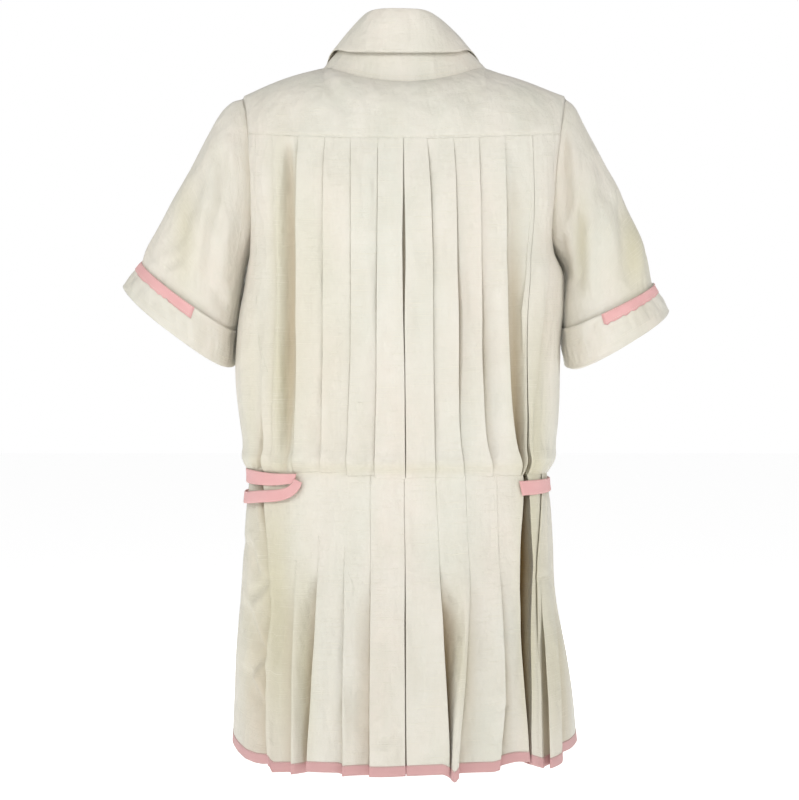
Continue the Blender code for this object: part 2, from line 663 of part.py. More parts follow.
def build_sleeve(name, table, cuff_table, mirror):
    seam = armhole_ring(mirror)
    first = ring_of(table[0], mirror=mirror)
    pull = [a - b for a, b in zip(seam, first)]
    rows = []
    for i, row in enumerate(table):
        keep = ARMHOLE_PULL[i] if i < len(ARMHOLE_PULL) else 0.0
        ring = ring_of(row, mirror=mirror)
        rows.append([point + shift * keep for point, shift in zip(ring, pull)])
    last = ring_of(cuff_table[-2], mirror=mirror, grow=-CUFF_STANDOFF - CLOTH)
    rows.append([a.lerp(b, SLEEVE_TUCK) for a, b in zip(rows[-1], last)])
    made = sheet("sleeve_" + name, rows, CLOTH, closed=True, flip=mirror < 0)
    made.data.materials.append(IVORY)
    cuff = [ring_of(row, mirror=mirror, grow=CUFF_STANDOFF) for row in cuff_table]
    made = sheet("cuff_" + name, cuff, CLOTH, closed=True, flip=mirror < 0)
    made.data.materials.append(IVORY)
    return cuff


def build_cuff_strip(name, cuff, mirror):
    """The tape on the cuff's top edge, from the front round the outer edge to the back."""
    centre = sum(cuff[0], Vector()) / SLEEVE_SIDES
    rows = []
    for share in (STRIP_TOP, STRIP_FOOT):
        row = []
        for i in range(STRIP_FROM, STRIP_TO + 1):
            k = i % SLEEVE_SIDES
            point = cuff[0][k].lerp(cuff[1][k], share)
            row.append(point + (point - centre).normalized() * (2 * SEAM_GAP + TAPE))
        rows.append(row)
    made = sheet("cuff_strip_" + name, rows, TAPE, flip=mirror < 0)
    made.data.materials.append(PINK)


def round_body(turn, z, out):
    """A point round the body: 0 at the centre back, 90 degrees at the wearer's left side."""
    side = 1 if math.cos(turn) >= 0 else -1
    angle = math.asin(max(-1.0, min(1.0, math.sin(turn))))
    point = section_point(side, angle, z)
    return point + section_normal(side, angle, z) * out


def build_waist_tapes():
    """Tapes that bridge the side gaps: each row runs with the back on its wearer's left."""
    for name, start, end, back_z, side_z in WAIST_TAPES:
        rows = []
        for edge in (0.5, -0.5):
            row = []
            for i in range(TAPE_STEPS + 1):
                turn = math.radians(start + (end - start) * i / TAPE_STEPS)
                sideways = abs(math.sin(turn)) ** 4
                z = (back_z + (side_z - back_z) * sideways) * MM + edge * TAPE_WIDTH
                less = (TAPE_STANDOFF - TAPE_STANDOFF_AT_SIDE) * sideways**2
                row.append(round_body(turn, z, TAPE_STANDOFF - less))
            rows.append(row)
        panel("waist_tape_" + name, rows, TAPE, 1, PINK)


def build_placket():
    """The strip down the centre front and its buttons."""
    places = (1, 0.5, 0, -0.5, -1)
    angles = [section_angle(share * PLACKET_WIDTH / 2, FRONT_YOKE_Z) for share in places]
    rows = yoke_rows(-1, angles)
    beside = Pleat(*BODICE_FRONT_PLEATS[4])
    for share in BODICE_ROWS[1:]:
        z = FRONT_YOKE_Z + (WAIST_Z - FRONT_YOKE_Z) * share
        row = []
        for place in places:
            x = place * PLACKET_WIDTH / 2
            edge = smooth(BODICE_LEVELS, beside.x, z / MM) * MM
            lift = smooth(BODICE_LEVELS, beside.lift, z / MM) * MM * abs(x) / edge
            angle = section_angle(x, z)
            normal = section_normal(-1, angle, z)
            row.append(section_point(-1, angle, z) + normal * (lift + blousing(share)))
        rows.append(row)
    rows = lifted(rows, -CLOTH - 2 * SEAM_GAP)
    made = sheet("front_placket", rows, CLOTH, flip=True)
    made.data.materials.append(IVORY)
    middle = [row[places.index(0)] for row in reversed(rows)]
    heights = [point.z for point in middle]
    depths = [point.y for point in middle]
    for i, height in enumerate(BUTTON_HEIGHTS, 1):
        z = height * MM
        reached = [np.interp(z + step, heights, depths) for step in (-BUTTON_RADIUS, 0, BUTTON_RADIUS)]
        y = min(reached) - BUTTON_STANDOFF - BUTTON_THICKNESS / 2
        bpy.ops.mesh.primitive_cylinder_add(
            vertices=20,
            radius=BUTTON_RADIUS,
            depth=BUTTON_THICKNESS,
            location=(0, y, z),
            rotation=(math.pi / 2, 0, 0),
        )
        button = bpy.context.active_object
        button.name = button.data.name = "button_%d" % i
        edge = button.modifiers.new("edge", "BEVEL")
        edge.width = BUTTON_EDGE
        edge.segments = 1
        button.data.materials.append(PEARL)
        for owner in list(button.users_collection):
            owner.objects.unlink(button)
        DRESS.objects.link(button)


def skirt_rows(side, pleats, grooves, shares):
    """Rows of a skirt panel, each a share of the way from the waist seam to the hem."""
    quarter = math.pi / 2
    hem = HEM_BACK if side > 0 else HEM_FRONT
    places, drops = zip(*hem[::-1])
    rows = []
    for share in shares:
        z = WAIST_Z + (HEM_Z - WAIST_Z) * share
        row = []
        section = pleated_section(side, z, pleats, grooves, SKIRT_LEVELS, quarter, -quarter, 2)
        for angle, height in section:
            x = section_point(side, angle, z).x
            here = z - float(np.interp(x / MM, places, drops)) * MM * share
            point = section_point(side, angle, here)
            point += section_normal(side, angle, here) * height
            if share == 0:
                point.z -= SEAM_GAP
            row.append(point)
        rows.append(row)
    return rows


def build_skirt():
    last = 1 - BINDING_HEIGHT / (WAIST_Z - HEM_Z)
    for name, side, pleats, grooves in (
        ("back", 1, SKIRT_BACK_PLEATS, SKIRT_BACK_GROOVES),
        ("front", -1, SKIRT_FRONT_PLEATS, SKIRT_FRONT_GROOVES),
    ):
        rows = skirt_rows(side, pleats, grooves, SKIRT_ROWS + (last, 1.0))
        panel("skirt_" + name, rows[:-1], CLOTH, side, IVORY)
        top = [point - Vector((0, 0, SEAM_GAP)) for point in rows[-2]]
        panel("hem_binding_" + name, [top, rows[-1]], CLOTH, side, PINK)


for old in list(bpy.data.objects):
    bpy.data.objects.remove(old, do_unlink=True)
DRESS = collection()
IVORY = material("ivory_silk", (0.86, 0.82, 0.72), 0.55, 0.3)
PINK = material("pink_tape", (0.9, 0.5, 0.5), 0.6, 0.2)
PEARL = material("pearl_button", (0.86, 0.83, 0.76), 0.3)

build_yokes()
build_bodice()
build_collar()
build_cuff_strip("left", build_sleeve("left", SLEEVE_LEFT, CUFF_LEFT, 1), 1)
build_cuff_strip("right", build_sleeve("right", SLEEVE_RIGHT, CUFF_RIGHT, -1), -1)
build_placket()
build_skirt()
build_waist_tapes()
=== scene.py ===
"""The looks of a short-sleeved silk mini dress, seen from the back: folded pleats, turned-up
cuffs, shirt collar and pink tapes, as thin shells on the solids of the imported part.

Metres, +Z up; the wearer faces -Y, and the wearer's left is +X. Tables are in millimetres.
"""

import math
from collections import namedtuple

import bmesh
import bpy
import numpy as np
from bpy.props import FloatProperty, FloatVectorProperty, IntProperty, PointerProperty
from mathutils import Matrix, Vector, noise


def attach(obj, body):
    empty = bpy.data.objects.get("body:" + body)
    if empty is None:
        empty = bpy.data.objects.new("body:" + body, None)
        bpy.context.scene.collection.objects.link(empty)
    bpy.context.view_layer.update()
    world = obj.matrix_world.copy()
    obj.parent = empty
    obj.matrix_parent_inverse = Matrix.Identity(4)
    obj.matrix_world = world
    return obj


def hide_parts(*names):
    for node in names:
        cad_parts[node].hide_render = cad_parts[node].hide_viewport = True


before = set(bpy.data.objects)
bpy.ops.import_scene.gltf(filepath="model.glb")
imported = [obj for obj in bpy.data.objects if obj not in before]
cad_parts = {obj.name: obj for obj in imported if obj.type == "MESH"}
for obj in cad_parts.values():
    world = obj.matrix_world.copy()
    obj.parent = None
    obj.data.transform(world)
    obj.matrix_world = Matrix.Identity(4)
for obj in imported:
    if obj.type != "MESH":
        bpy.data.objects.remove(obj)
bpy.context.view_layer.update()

bl_info = {
    "name": "Silk mini dress",
    "version": (1, 0, 0),
    "blender": (4, 5, 0),
    "location": "3D View > Sidebar > Dress",
    "description": "Builds a pleated silk mini dress with a shirt collar and pink tapes",
    "category": "Add Mesh",
}


def records(kind, *rows):
    """Rows of numbers as named records of one kind."""
    return [kind(*row) for row in rows]


MM = 0.001
BODY = "root"
SILK_SLOT = "silk"
TAPE_SLOT = "tape"
BUTTON_SLOT = "button"

# The form that the cloth is fitted over
ROUNDNESS = 2.4
NECK_HALF_WIDTH = 95 * MM
NECK_BACK_DEPTH = 65 * MM
NECK_BACK_DROP = 26 * MM
NECK_FRONT_DEPTH = 95 * MM
NECK_FRONT_DROP = 88 * MM
NECK_FRONT_CURVE = 1.4
SHOULDER_TIP_Z = -37 * MM
BACK_YOKE_Z = -97 * MM
FRONT_YOKE_Z = -118 * MM
YOKE_RISE = 10 * MM
UNDERARM_Z = -222 * MM
WAIST_Z = -479 * MM
HEM_Z = -797 * MM
BINDING_HEIGHT = 11 * MM
ARMHOLE_MIDDLE = (SHOULDER_TIP_Z + UNDERARM_Z) / 2
ARMHOLE_REACH = (SHOULDER_TIP_Z - UNDERARM_Z) / 2
ARMHOLE_DEPTH_BACK = 52 * MM
ARMHOLE_DEPTH_FRONT = 56 * MM
EVENING_STEPS = (-36, -24, -12, 0, 12, 24, 36)
EVENED_FROM = 0.3
WIDEST_SHARE = 0.9995       # of the half width; beyond it the section's side is upright
SEAM_GAP = 0.3 * MM
BODY_COLUMNS = ("z", "left", "right", "back", "front")
BODY_SIZES = (
    (0, 192, 191, 88, 90),
    (-37, 192, 191, 94, 98),
    (-60, 186, 187, 99, 106),
    (-97, 181, 180, 106, 115),
    (-150, 177, 175, 118, 128),
    (-222, 181, 177, 122, 134),
    (-247, 186.4, 189, 121, 132),
    (-270, 190.6, 190.4, 119.5, 129),
    (-290, 194.6, 189.6, 118, 127),
    (-322, 198, 186, 116.5, 123),
    (-355, 199.8, 183.8, 115, 120),
    (-415, 195.5, 181.5, 112, 116),
    (-450, 190, 177, 110, 114),
    (-479, 184.5, 169.5, 107, 110),
    (-520, 187, 173, 109, 110),
    (-562, 189, 175.5, 112, 113),
    (-603, 192, 177, 118, 118),
    (-640, 195.5, 181, 125, 124),
    (-690, 199.5, 191, 136, 134),
    (-745, 201.5, 200.5, 147, 143),
    (-805, 202.5, 205, 157, 151),
)

# Folds of the cloth at each height: where the edge lies, how far it stands out, how wide the
# slot beside it gapes, how high the next panel's lip is and how deep the fold's floor lies,
# in that order. "left" and "right" are knife pleats whose edge points that way; "facing" is an
# inverted pleat or a deep groove whose two edges face each other; "ridge" only shapes a panel.
Fold = namedtuple("Fold", ("name", "to", "x", "lift", "slot", "lip", "floor"))


def ridge(name, places, lift):
    """A swell or a dip in a panel, with no edge, slot or tucked cloth of its own."""
    none = (0,) * len(places)
    return Fold(name, "ridge", places, lift, none, none, none)


BODICE_LEVELS = (-97, -150, -224, -280, -337, -385, -416, -450, -479)
BODICE_BACK = (
    Fold("left_side", "left", (171, 172, 172, 171, 168, 165, 162.5, 161.2, 161.3),
         (0.1, 0.1, 0.1, 0.1, 0.2, 0.8, 1.8, 2.4, 2.4), (0.1, 0.1, 0.1, 0.1, 0.2, 1.5, 5, 8, 8),
         (0, 0, 0, 0, -0.2, -1, -2, -3, -4), (-0.15, -0.15, -0.15, -0.15, -0.6, -5, -14, -22, -24)),
    Fold("l5", "left", (151.5, 149, 148, 147.5, 148, 150, 151.4, 152, 152),
         (1.0, 1.6, 2, 1.8, 1.4, 1, 0.8, 0.6, 0.5), (0.1, 0.2, 0.2, 0.2, 0.1, 0.1, 0.1, 0.1, 0.1),
         (-0.2, -0.8, -1.2, -1, -0.6, -0.2, 0, 0, 0),
         (-1.2, -1.8, -2.2, -2, -1.6, -1.2, -1, -0.8, -0.6)),
    ridge("hill", (143, 143.2, 143.4, 143, 143, 143.6, 144.6, 145, 145),
          (1, 1.6, 2, 2, 2, 2, 1.6, 1, 0.6)),
    ridge("slope", (137, 137.4, 137.6, 137.4, 137.4, 137.8, 138.6, 139.4, 139.4),
          (-1.4, -4.4, -5.6, -6, -5.6, -4.8, -3.6, -2, -0.6)),
    ridge("hollow", (128, 129, 129.6, 129.4, 129.4, 130, 131, 132, 133),
          (-2, -6.4, -8.6, -9.4, -8.8, -7.4, -5.8, -3.2, -1.2)),
    Fold("l4", "left", (120.7, 122.2, 122.6, 122.4, 122.3, 123, 124.3, 125.3, 126.2),
         (1.2, 2.4, 3, 3.2, 3, 2.6, 2.4, 2, 1.4), (0.1, 0.3, 0.4, 0.5, 0.5, 0.4, 0.4, 0.3, 0.2),
         (-2, -7, -10, -11, -10, -8, -6, -3, -1), (-3, -8, -11.5, -13, -12, -10, -8, -5, -2)),
    Fold("l3", "left", (90.3, 92, 92.1, 92.1, 92.3, 93, 93.9, 94.4, 95.1),
         (0.8, 1.4, 1.6, 1.7, 1.8, 2, 2.2, 2, 1.6), (0.1, 0.3, 0.3, 0.3, 0.3, 0.4, 0.5, 0.4, 0.3),
         (-0.2, -0.5, -0.6, -0.6, -0.6, -1, -1.4, -1, -0.6),
         (-1.2, -1.8, -2, -2, -2, -2.4, -3, -2.4, -1.6)),
    Fold("l2", "left", (60.9, 60.7, 60.6, 60.7, 61, 62.5, 63.4, 64.8, 65.2),
         (0.7, 1, 1.2, 1.3, 1.4, 1.6, 1.8, 1.8, 1.6), (0.1, 0.2, 0.2, 0.2, 0.3, 0.4, 0.6, 0.5, 0.3),
         (-0.1, -0.2, -0.3, -0.3, -0.3, -0.5, -1, -0.8, -0.5),
         (-1, -1.4, -1.6, -1.6, -1.6, -2, -2.6, -2.4, -1.6)),
    Fold("l1", "left", (30.1, 30.5, 30.9, 31.6, 31.8, 32.2, 32.8, 33.6, 34),
         (0.7, 1, 1.5, 2, 1.8, 1.7, 1.8, 1.8, 1.4), (0.1, 0.2, 0.5, 0.9, 0.4, 0.3, 0.3, 0.3, 0.2),
         (-0.1, -0.2, -0.6, -1, -0.6, -0.5, -0.5, -0.6, -0.4),
         (-1, -1.4, -2.2, -3, -2.2, -1.8, -1.8, -1.8, -1.4)),
    Fold("centre", "facing", (1.2, 0.8, 0.9, 0.6, 0, -0.8, -1.1, -1.1, -1.1),
         (0.8, 1.4, 2.2, 2.2, 1.8, 1.6, 1.8, 1.8, 1.4),
         (0.5, 1.4, 3.6, 2.2, 1.1, 0.9, 1.1, 1.2, 0.9),
         (0,) * 9, (-1.6, -4, -8, -7, -5, -5, -6, -6, -3)),
    Fold("r1", "right", (-25.6, -29.5, -31.5, -32.3, -32.7, -33.3, -33.9, -34.6, -35.1),
         (1, 2, 2.2, 1.8, 1.8, 1.8, 2, 1.8, 1.4), (0.4, 1.4, 1, 0.5, 0.5, 0.5, 0.7, 0.6, 0.4),
         (-0.3, -1, -1.2, -0.8, -0.8, -0.8, -1, -0.8, -0.4),
         (-1.6, -4, -4, -2.6, -2.6, -2.6, -3, -2.6, -1.6)),
    Fold("r2", "right", (-55.6, -58.2, -59.4, -60.6, -61, -61.3, -62, -64.6, -67.7),
         (0.8, 1.2, 2.4, 3.2, 3.2, 2.8, 2.6, 2.4, 2), (0.3, 0.7, 2.2, 4, 4.4, 3, 1.6, 1.2, 0.6),
         (-0.3, -0.6, -1, -2, -2, -1.6, -1.4, -1.2, -0.8),
         (-1.2, -3, -7, -11, -11, -8, -5, -4, -2.4)),
    Fold("r3", "right", (-84.4, -86, -86.7, -87, -87.2, -89.2, -90.7, -94.5, -100.4),
         (1, 1.4, 2, 2.6, 3.2, 3.2, 3.2, 3, 2), (0.3, 0.7, 1, 2.6, 5, 4.4, 3.4, 2.6, 0.8),
         (-0.3, -0.8, -1.6, -2.6, -3.6, -4, -4, -3, -1), (-1.4, -3, -4, -8, -12, -11, -9, -8, -3)),
    Fold("r4", "right", (-114.3, -115, -115.7, -116.5, -117.8, -120, -122.5, -127.5, -133),
         (1, 1.6, 2.4, 3, 3.4, 3.6, 3.8, 3.6, 2.8), (0.2, 0.3, 0.4, 0.5, 0.7, 1, 1.4, 1.6, 1.2),
         (-0.5, -2.4, -5, -7, -9, -11, -12, -12, -9),
         (-1.6, -4, -7, -9.5, -12, -15, -17, -16, -12)),
    ridge("brown_hollow", (-122, -124, -125, -127, -130, -132, -134, -134.6, -135),
          (-0.6, -2.4, -5, -8, -10, -12, -13, -14, -12)),
    Fold("r5", "facing", (-146, -147.5, -146, -141.5, -140, -140.5, -141, -140, -138.5),
         (0.3, 0.6, 0.6, 0.8, 1.2, 1.6, 1.8, 2, 2), (0.2, 0.3, 0.3, 0.4, 0.8, 1.2, 1.8, 3.5, 5.5),
         (0,) * 9, (-0.5, -1, -1, -1.4, -3, -6, -9, -17, -22)),
    Fold("r6", "right", (-173, -170.5, -168, -162, -155.5, -151, -148.5, -147, -146),
         (0.1, 0.3, 1.2, 1.8, 2, 1.8, 1.4, 1, 0.6), (0.1, 0.1, 0.4, 0.6, 0.6, 0.4, 0.3, 0.2, 0.1),
         (0, -0.1, -1, -1.8, -2, -1.2, -0.6, -0.2, 0),
         (-0.2, -0.4, -2.4, -4, -4, -3, -2, -1.4, -0.8)),
)


def even_fold(name, to, places, lift, seed):
    """A front fold, which the photograph doesn't show: like the back's, a little uneven."""
    rise = [lift * (0.75 + 0.25 * math.sin(seed + 1.3 * i)) for i in range(len(places))]
    slots = [0.2 + 0.6 * abs(math.sin(seed * 2 + 0.9 * i)) for i in range(len(places))]
    lips = [-0.4 * height for height in rise]
    floors = [-1 - 0.8 * height for height in rise]
    return Fold(name, to, places, rise, slots, lips, floors)


FRONT_STEPS = (0, 0.4, 1, 1.2, 1.2, 0.8, 0.4, 0, 0)
BODICE_FRONT_LEFT = tuple(
    even_fold("l%d" % i, "left", [x + side * step for step in FRONT_STEPS], 2.2, i)
    for i, x, side in ((5, 150, -0.8), (4, 125, 1), (3, 98, 1), (2, 71, 1), (1, 44, 1))
)
BODICE_FRONT_RIGHT = tuple(
    even_fold("r%d" % i, "right", [x - side * step for step in FRONT_STEPS], 2.4, i + 5)
    for i, x, side in ((1, -44, 1), (2, -71, 1), (3, -98, 0.6), (4, -124, 0.2), (5, -150, -2))
)

SKIRT_LEVELS = (-479, -515, -551, -585, -605, -635, -662, -695, -727, -765, -805)
SKIRT_BACK = (
    Fold("side_gap", "left", (162.5, 160.5, 157, 154.5, 153, 151.8, 153.6, 154.2, 154, 153, 149),
         (2.4, 2.2, 2, 1.8, 1.8, 2.4, 3.4, 4.4, 5, 5.4, 5.4),
         (8, 7, 4, 1, 0.6, 0.6, 0.6, 0.6, 0.8, 0.9, 1),
         (-5, -4, -3, -2.4, -2.6, -3.4, -5, -6, -7, -7, -7),
         (-26, -22, -12, -5, -4.6, -6, -8, -9, -10, -10, -10)),
    Fold("l4", "left", (124, 124, 124, 124, 124, 124, 124, 124.2, 124.2, 124, 123.6),
         (0.04, 0.04, 0.04, 0.3, 1.8, 3.2, 4.4, 5.2, 5.8, 6.2, 6.4),
         (0.1, 0.1, 0.1, 0.2, 0.3, 0.4, 0.5, 0.6, 0.8, 1, 1.2),
         (0, 0, 0, -0.3, -1.6, -3.4, -4.4, -5, -5.4, -5.6, -5.6),
         (-0.1, -0.1, -0.1, -0.7, -3, -5.4, -6.6, -8, -9, -9, -9)),
    Fold("l3", "left", (97.5, 97.8, 98, 98.4, 98.4, 99, 99.8, 101.6, 103.4, 106, 107),
         (0.04, 0.04, 0.06, 0.6, 2.8, 4.4, 5.4, 6.2, 7, 7, 7),
         (0.1, 0.1, 0.1, 0.3, 0.6, 0.9, 1, 1.2, 1.4, 1.6, 1.8),
         (0, 0, 0, -0.8, -4.4, -8, -10, -12, -13, -13, -12),
         (-0.1, -0.1, -0.2, -1.6, -7, -11, -13, -15, -17, -17, -15)),
    Fold("l2", "left", (67.5, 67.8, 68, 68, 68, 68, 68.2, 68.8, 69, 68.6, 68.5),
         (0.04, 0.04, 0.04, 0.4, 1.2, 1.8, 2, 2.4, 2.8, 3.2, 3.2),
         (0.1, 0.1, 0.1, 0.2, 0.3, 0.4, 0.4, 0.4, 0.5, 0.7, 0.9),
         (0, 0, 0, -0.2, -0.8, -1.4, -1.6, -2, -2.6, -3, -3),
         (-0.1, -0.1, -0.1, -0.8, -2, -3, -3.4, -4, -5, -5, -5)),
    Fold("l1", "left", (38.5, 38.6, 38.6, 38.4, 38.2, 38.3, 38.4, 38.4, 38.4, 38.4, 38.4),
         (0.3, 0.3, 0.25, 0.5, 1.8, 2.8, 3.2, 3.8, 4.2, 4.6, 4.8),
         (0.1, 0.1, 0.1, 0.3, 0.6, 0.7, 0.8, 0.9, 1.1, 1.3, 1.5),
         (0, 0, 0, -0.3, -2, -3.6, -4.2, -4.6, -5, -5, -5),
         (-0.5, -0.5, -0.4, -1.2, -4, -6, -7, -7.6, -8.6, -8.6, -8.6)),
    Fold("centre", "facing", (0.4, 0, -0.4, -0.8, -1, -1, -1, -1, -1.2, -1.5, -1.7),
         (0.5, 0.5, 0.5, 0.8, 1.2, 1.8, 2.2, 2.6, 2.8, 3, 3),
         (0.4, 0.4, 0.5, 0.8, 1.1, 1.5, 1.5, 1.2, 1.1, 1.4, 1.8),
         (0,) * 11, (-1.2, -1.2, -1.4, -3, -5, -7, -8, -8, -8, -8, -8)),
    Fold("r1", "right", (-35.2, -36.6, -38.4, -40, -40.8, -42.4, -43.5, -45.4, -47.1, -49.2, -48.2),
         (0.4, 0.4, 0.4, 0.9, 2, 3.4, 4.4, 5, 5.4, 5.4, 5.4),
         (0.2, 0.2, 0.2, 0.4, 0.7, 1, 1.2, 1.2, 1, 0.8, 0.6),
         (0, 0, 0, -0.6, -4, -12, -15, -16, -15, -10, -6),
         (-0.8, -0.8, -0.8, -2, -7, -16, -19, -20, -19, -14, -10)),
    ridge("tongue", (-52, -54, -56, -58, -62, -65, -63.6, -58.6, -55, -52.4, -50.6),
          (0, 0, 0, 0.4, 1.4, 4, 6.4, 8.4, 9.4, 9.8, 10.4)),
    Fold("r2", "right", (-69.5, -70.5, -72, -73.6, -73.4, -71.6, -69.4, -66.6, -63.6, -60, -57.6),
         (0.15, 0.15, 0.15, 0.8, 3, 5.4, 7.4, 9.4, 10.4, 11, 12),
         (0.1, 0.1, 0.1, 0.3, 0.6, 0.8, 0.9, 1, 1.2, 1.4, 1.6),
         (0, 0, 0, -0.4, -1.6, -2.6, -3, -3.4, -3.6, -3.6, -3.6),
         (-0.3, -0.3, -0.3, -1.6, -4, -5.6, -6.6, -7, -7, -7, -7)),
    Fold("r3", "right", (-105, -106, -107.4, -108.6, -109, -109.2, -109.8, -110.6, -110.4, -107, -103),
         (0.15, 0.15, 0.2, 0.6, 2, 3.4, 4.6, 5.6, 6, 6, 6),
         (0.1, 0.1, 0.1, 0.2, 0.3, 0.4, 0.4, 0.4, 0.5, 0.6, 0.8),
         (0, 0, 0, -0.6, -2.4, -4.4, -5.6, -6.4, -6.6, -6, -5),
         (-0.3, -0.3, -0.4, -1.2, -3.8, -6, -7.6, -8.4, -8.6, -8, -7)),
    Fold("right_gap", "facing",
         (-138.6, -139.4, -138.8, -138.8, -137.2, -136, -135.6, -136.4, -137.2, -138.4, -139.2),
         (2, 2, 2, 2, 2.4, 3, 3.4, 3.6, 3.6, 3.6, 3.6),
         (4.7, 8.2, 12.6, 15, 13.6, 11, 10, 8.4, 6.4, 3.6, 2.4),
         (0,) * 11, (-27, -34, -38, -40, -40, -39, -37, -33, -26, -17, -11)),
    Fold("r5", "left", (-160.5, -157.5, -154.5, -151.6, -151, -150.8, -151, -152, -152.4, -152.6, -152.6),
         (1.2, 1.2, 1.3, 1.4, 1.6, 1.6, 0.6, 0.04, 0.04, 0.04, 0.04), (0.2,) * 11,
         (-0.4, -0.4, -0.4, -0.4, -0.4, -0.4, -0.1, 0, 0, 0, 0),
         (-1.6, -1.6, -1.8, -1.8, -2, -2, -0.6, -0.1, -0.1, -0.1, -0.1)),
    Fold("r5b", "left", (-164, -163, -161, -158.4, -157.4, -157.4, -158, -158.8, -159.4, -160, -160),
         (0.04, 0.04, 0.04, 0.04, 0.04, 0.8, 2.4, 3.4, 4.4, 5, 5),
         (0.1, 0.1, 0.1, 0.1, 0.1, 0.2, 0.3, 0.4, 0.5, 0.7, 0.9),
         (0, 0, 0, 0, 0, -0.6, -2.4, -3.6, -4, -4, -4),
         (-0.1, -0.1, -0.1, -0.1, -0.1, -1.4, -4, -6, -6.6, -6.6, -6.6)),
    Fold("r6", "right",
         (-166.6, -168, -169, -169.6, -170.6, -172.6, -174.6, -176.4, -177.2, -177.6, -177.6),
         (0.04, 0.04, 0.04, 0.2, 0.8, 1.6, 2, 2.4, 2.8, 3, 3),
         (0.1, 0.1, 0.1, 0.1, 0.2, 0.3, 0.4, 0.5, 0.6, 0.7, 0.8),
         (0, 0, 0, -0.1, -1.6, -3.4, -4.4, -5, -5.6, -6, -6),
         (-0.1, -0.1, -0.1, -0.4, -2.6, -5, -6, -7, -7.6, -8, -8)),
)


def even_skirt_fold(name, to, top, foot, lift, seed):
    """A front skirt fold: flat down to the hip, then opening to the hem."""
    deep = (0, 0, 0, 0.12, 0.3, 0.5, 0.66, 0.8, 0.9, 0.96, 1)
    places = [top + (foot - top) * share for share in deep]
    rise = [0.1 + lift * share * (0.88 + 0.12 * math.sin(seed + i)) for i, share in enumerate(deep)]
    slots = [0.1 + 1.1 * share for share in deep]
    lips = [-0.5 * lift * share for share in deep]
    floors = [-0.2 - 1.1 * lift * share for share in deep]
    return Fold(name, to, places, rise, slots, lips, floors)


SKIRT_FRONT = (
    Fold("left_side", "facing", (163, 163, 163, 163, 163, 163.5, 164, 165, 166, 166.5, 167),
         (1.6,) * 11, (4, 5, 4, 2, 1, 1, 1.2, 1.4, 1.8, 2.2, 2.4), (0,) * 11,
         (-14, -14, -10, -5, -3, -4, -5, -7, -9, -10, -10)),
    even_skirt_fold("l4", "left", 127, 132, 5.4, 1),
    even_skirt_fold("l3", "left", 99, 106, 5, 2),
    even_skirt_fold("l2", "left", 71, 75, 5.6, 3),
    even_skirt_fold("l1", "left", 43, 45, 4.6, 4),
    Fold("centre", "facing", (0,) * 11, (0.8, 0.8, 0.8, 1, 1.4, 1.8, 2.2, 2.6, 2.8, 3, 3),
         (0.8, 0.8, 0.8, 1, 1.4, 1.8, 2.2, 2.8, 3.4, 4, 4.6), (1,) * 11,
         (-4, -4, -4, -5, -6, -7, -8, -9, -10, -10, -10)),
    even_skirt_fold("r1", "right", -43, -46, 4.8, 5),
    even_skirt_fold("r2", "right", -71, -75, 5.6, 6),
    even_skirt_fold("r3", "right", -99, -106, 5.2, 7),
    even_skirt_fold("r4", "right", -127, -132, 5, 8),
    Fold("right_side", "facing", (-154, -154, -154, -155, -156, -158, -160, -162, -164, -165, -166),
         (1.6,) * 11, (4, 5, 4, 2, 1, 1, 1.2, 1.4, 1.8, 2.2, 2.4), (0,) * 11,
         (-14, -14, -10, -5, -3, -4, -5, -7, -9, -10, -10)),
)

# How far the bodice swells above the waist seam: share of the way down, mm out
BLOUSING = (
    (0, 0), (0.9, 0), (0.93, 1.8), (0.948, 4.6), (0.96, 5.6), (0.974, 4.8), (0.988, 2.6), (1, 0.6),
    (1.004, -1.6),
)
# How much lower than WAIST_Z the bodice's panels end, from the wearer's left to the right
BODICE_ENDS = (
    (200, 0), (128, 0), (125, -3), (96, -5), (94, -4), (66, -3), (64, 0), (35, -1), (33, 2), (1, 3),
    (-1, 3), (-34, 1), (-36, 2), (-67, 3), (-68, -1), (-99, 1), (-101, -1), (-132, 1), (-200, 0),
)

# How much lower than HEM_Z the hem hangs, from the wearer's left to the right
HEM_BACK = (
    (202, -2), (193, 4), (184, 8), (172, 9.5), (162, 9), (155, 7), (148, 7), (147, 14), (111, 12), (109, 8),
    (71, 9.5), (70, 12), (2, 11), (-42, 9), (-47, 11), (-54, 17), (-60, 10), (-98, 8.5), (-112, 3),
    (-125, 0), (-137.6, 1), (-141, 5), (-157, 12), (-176.8, 9), (-177.8, 1), (-205, 0),
)
HEM_FRONT = (
    (202, -3), (165, 5), (126, 5), (104, 8), (72, 6), (44, 9), (0, 9), (-46, 8), (-74, 10),
    (-106, 7), (-132, 9), (-166, 5), (-202, 2),
)

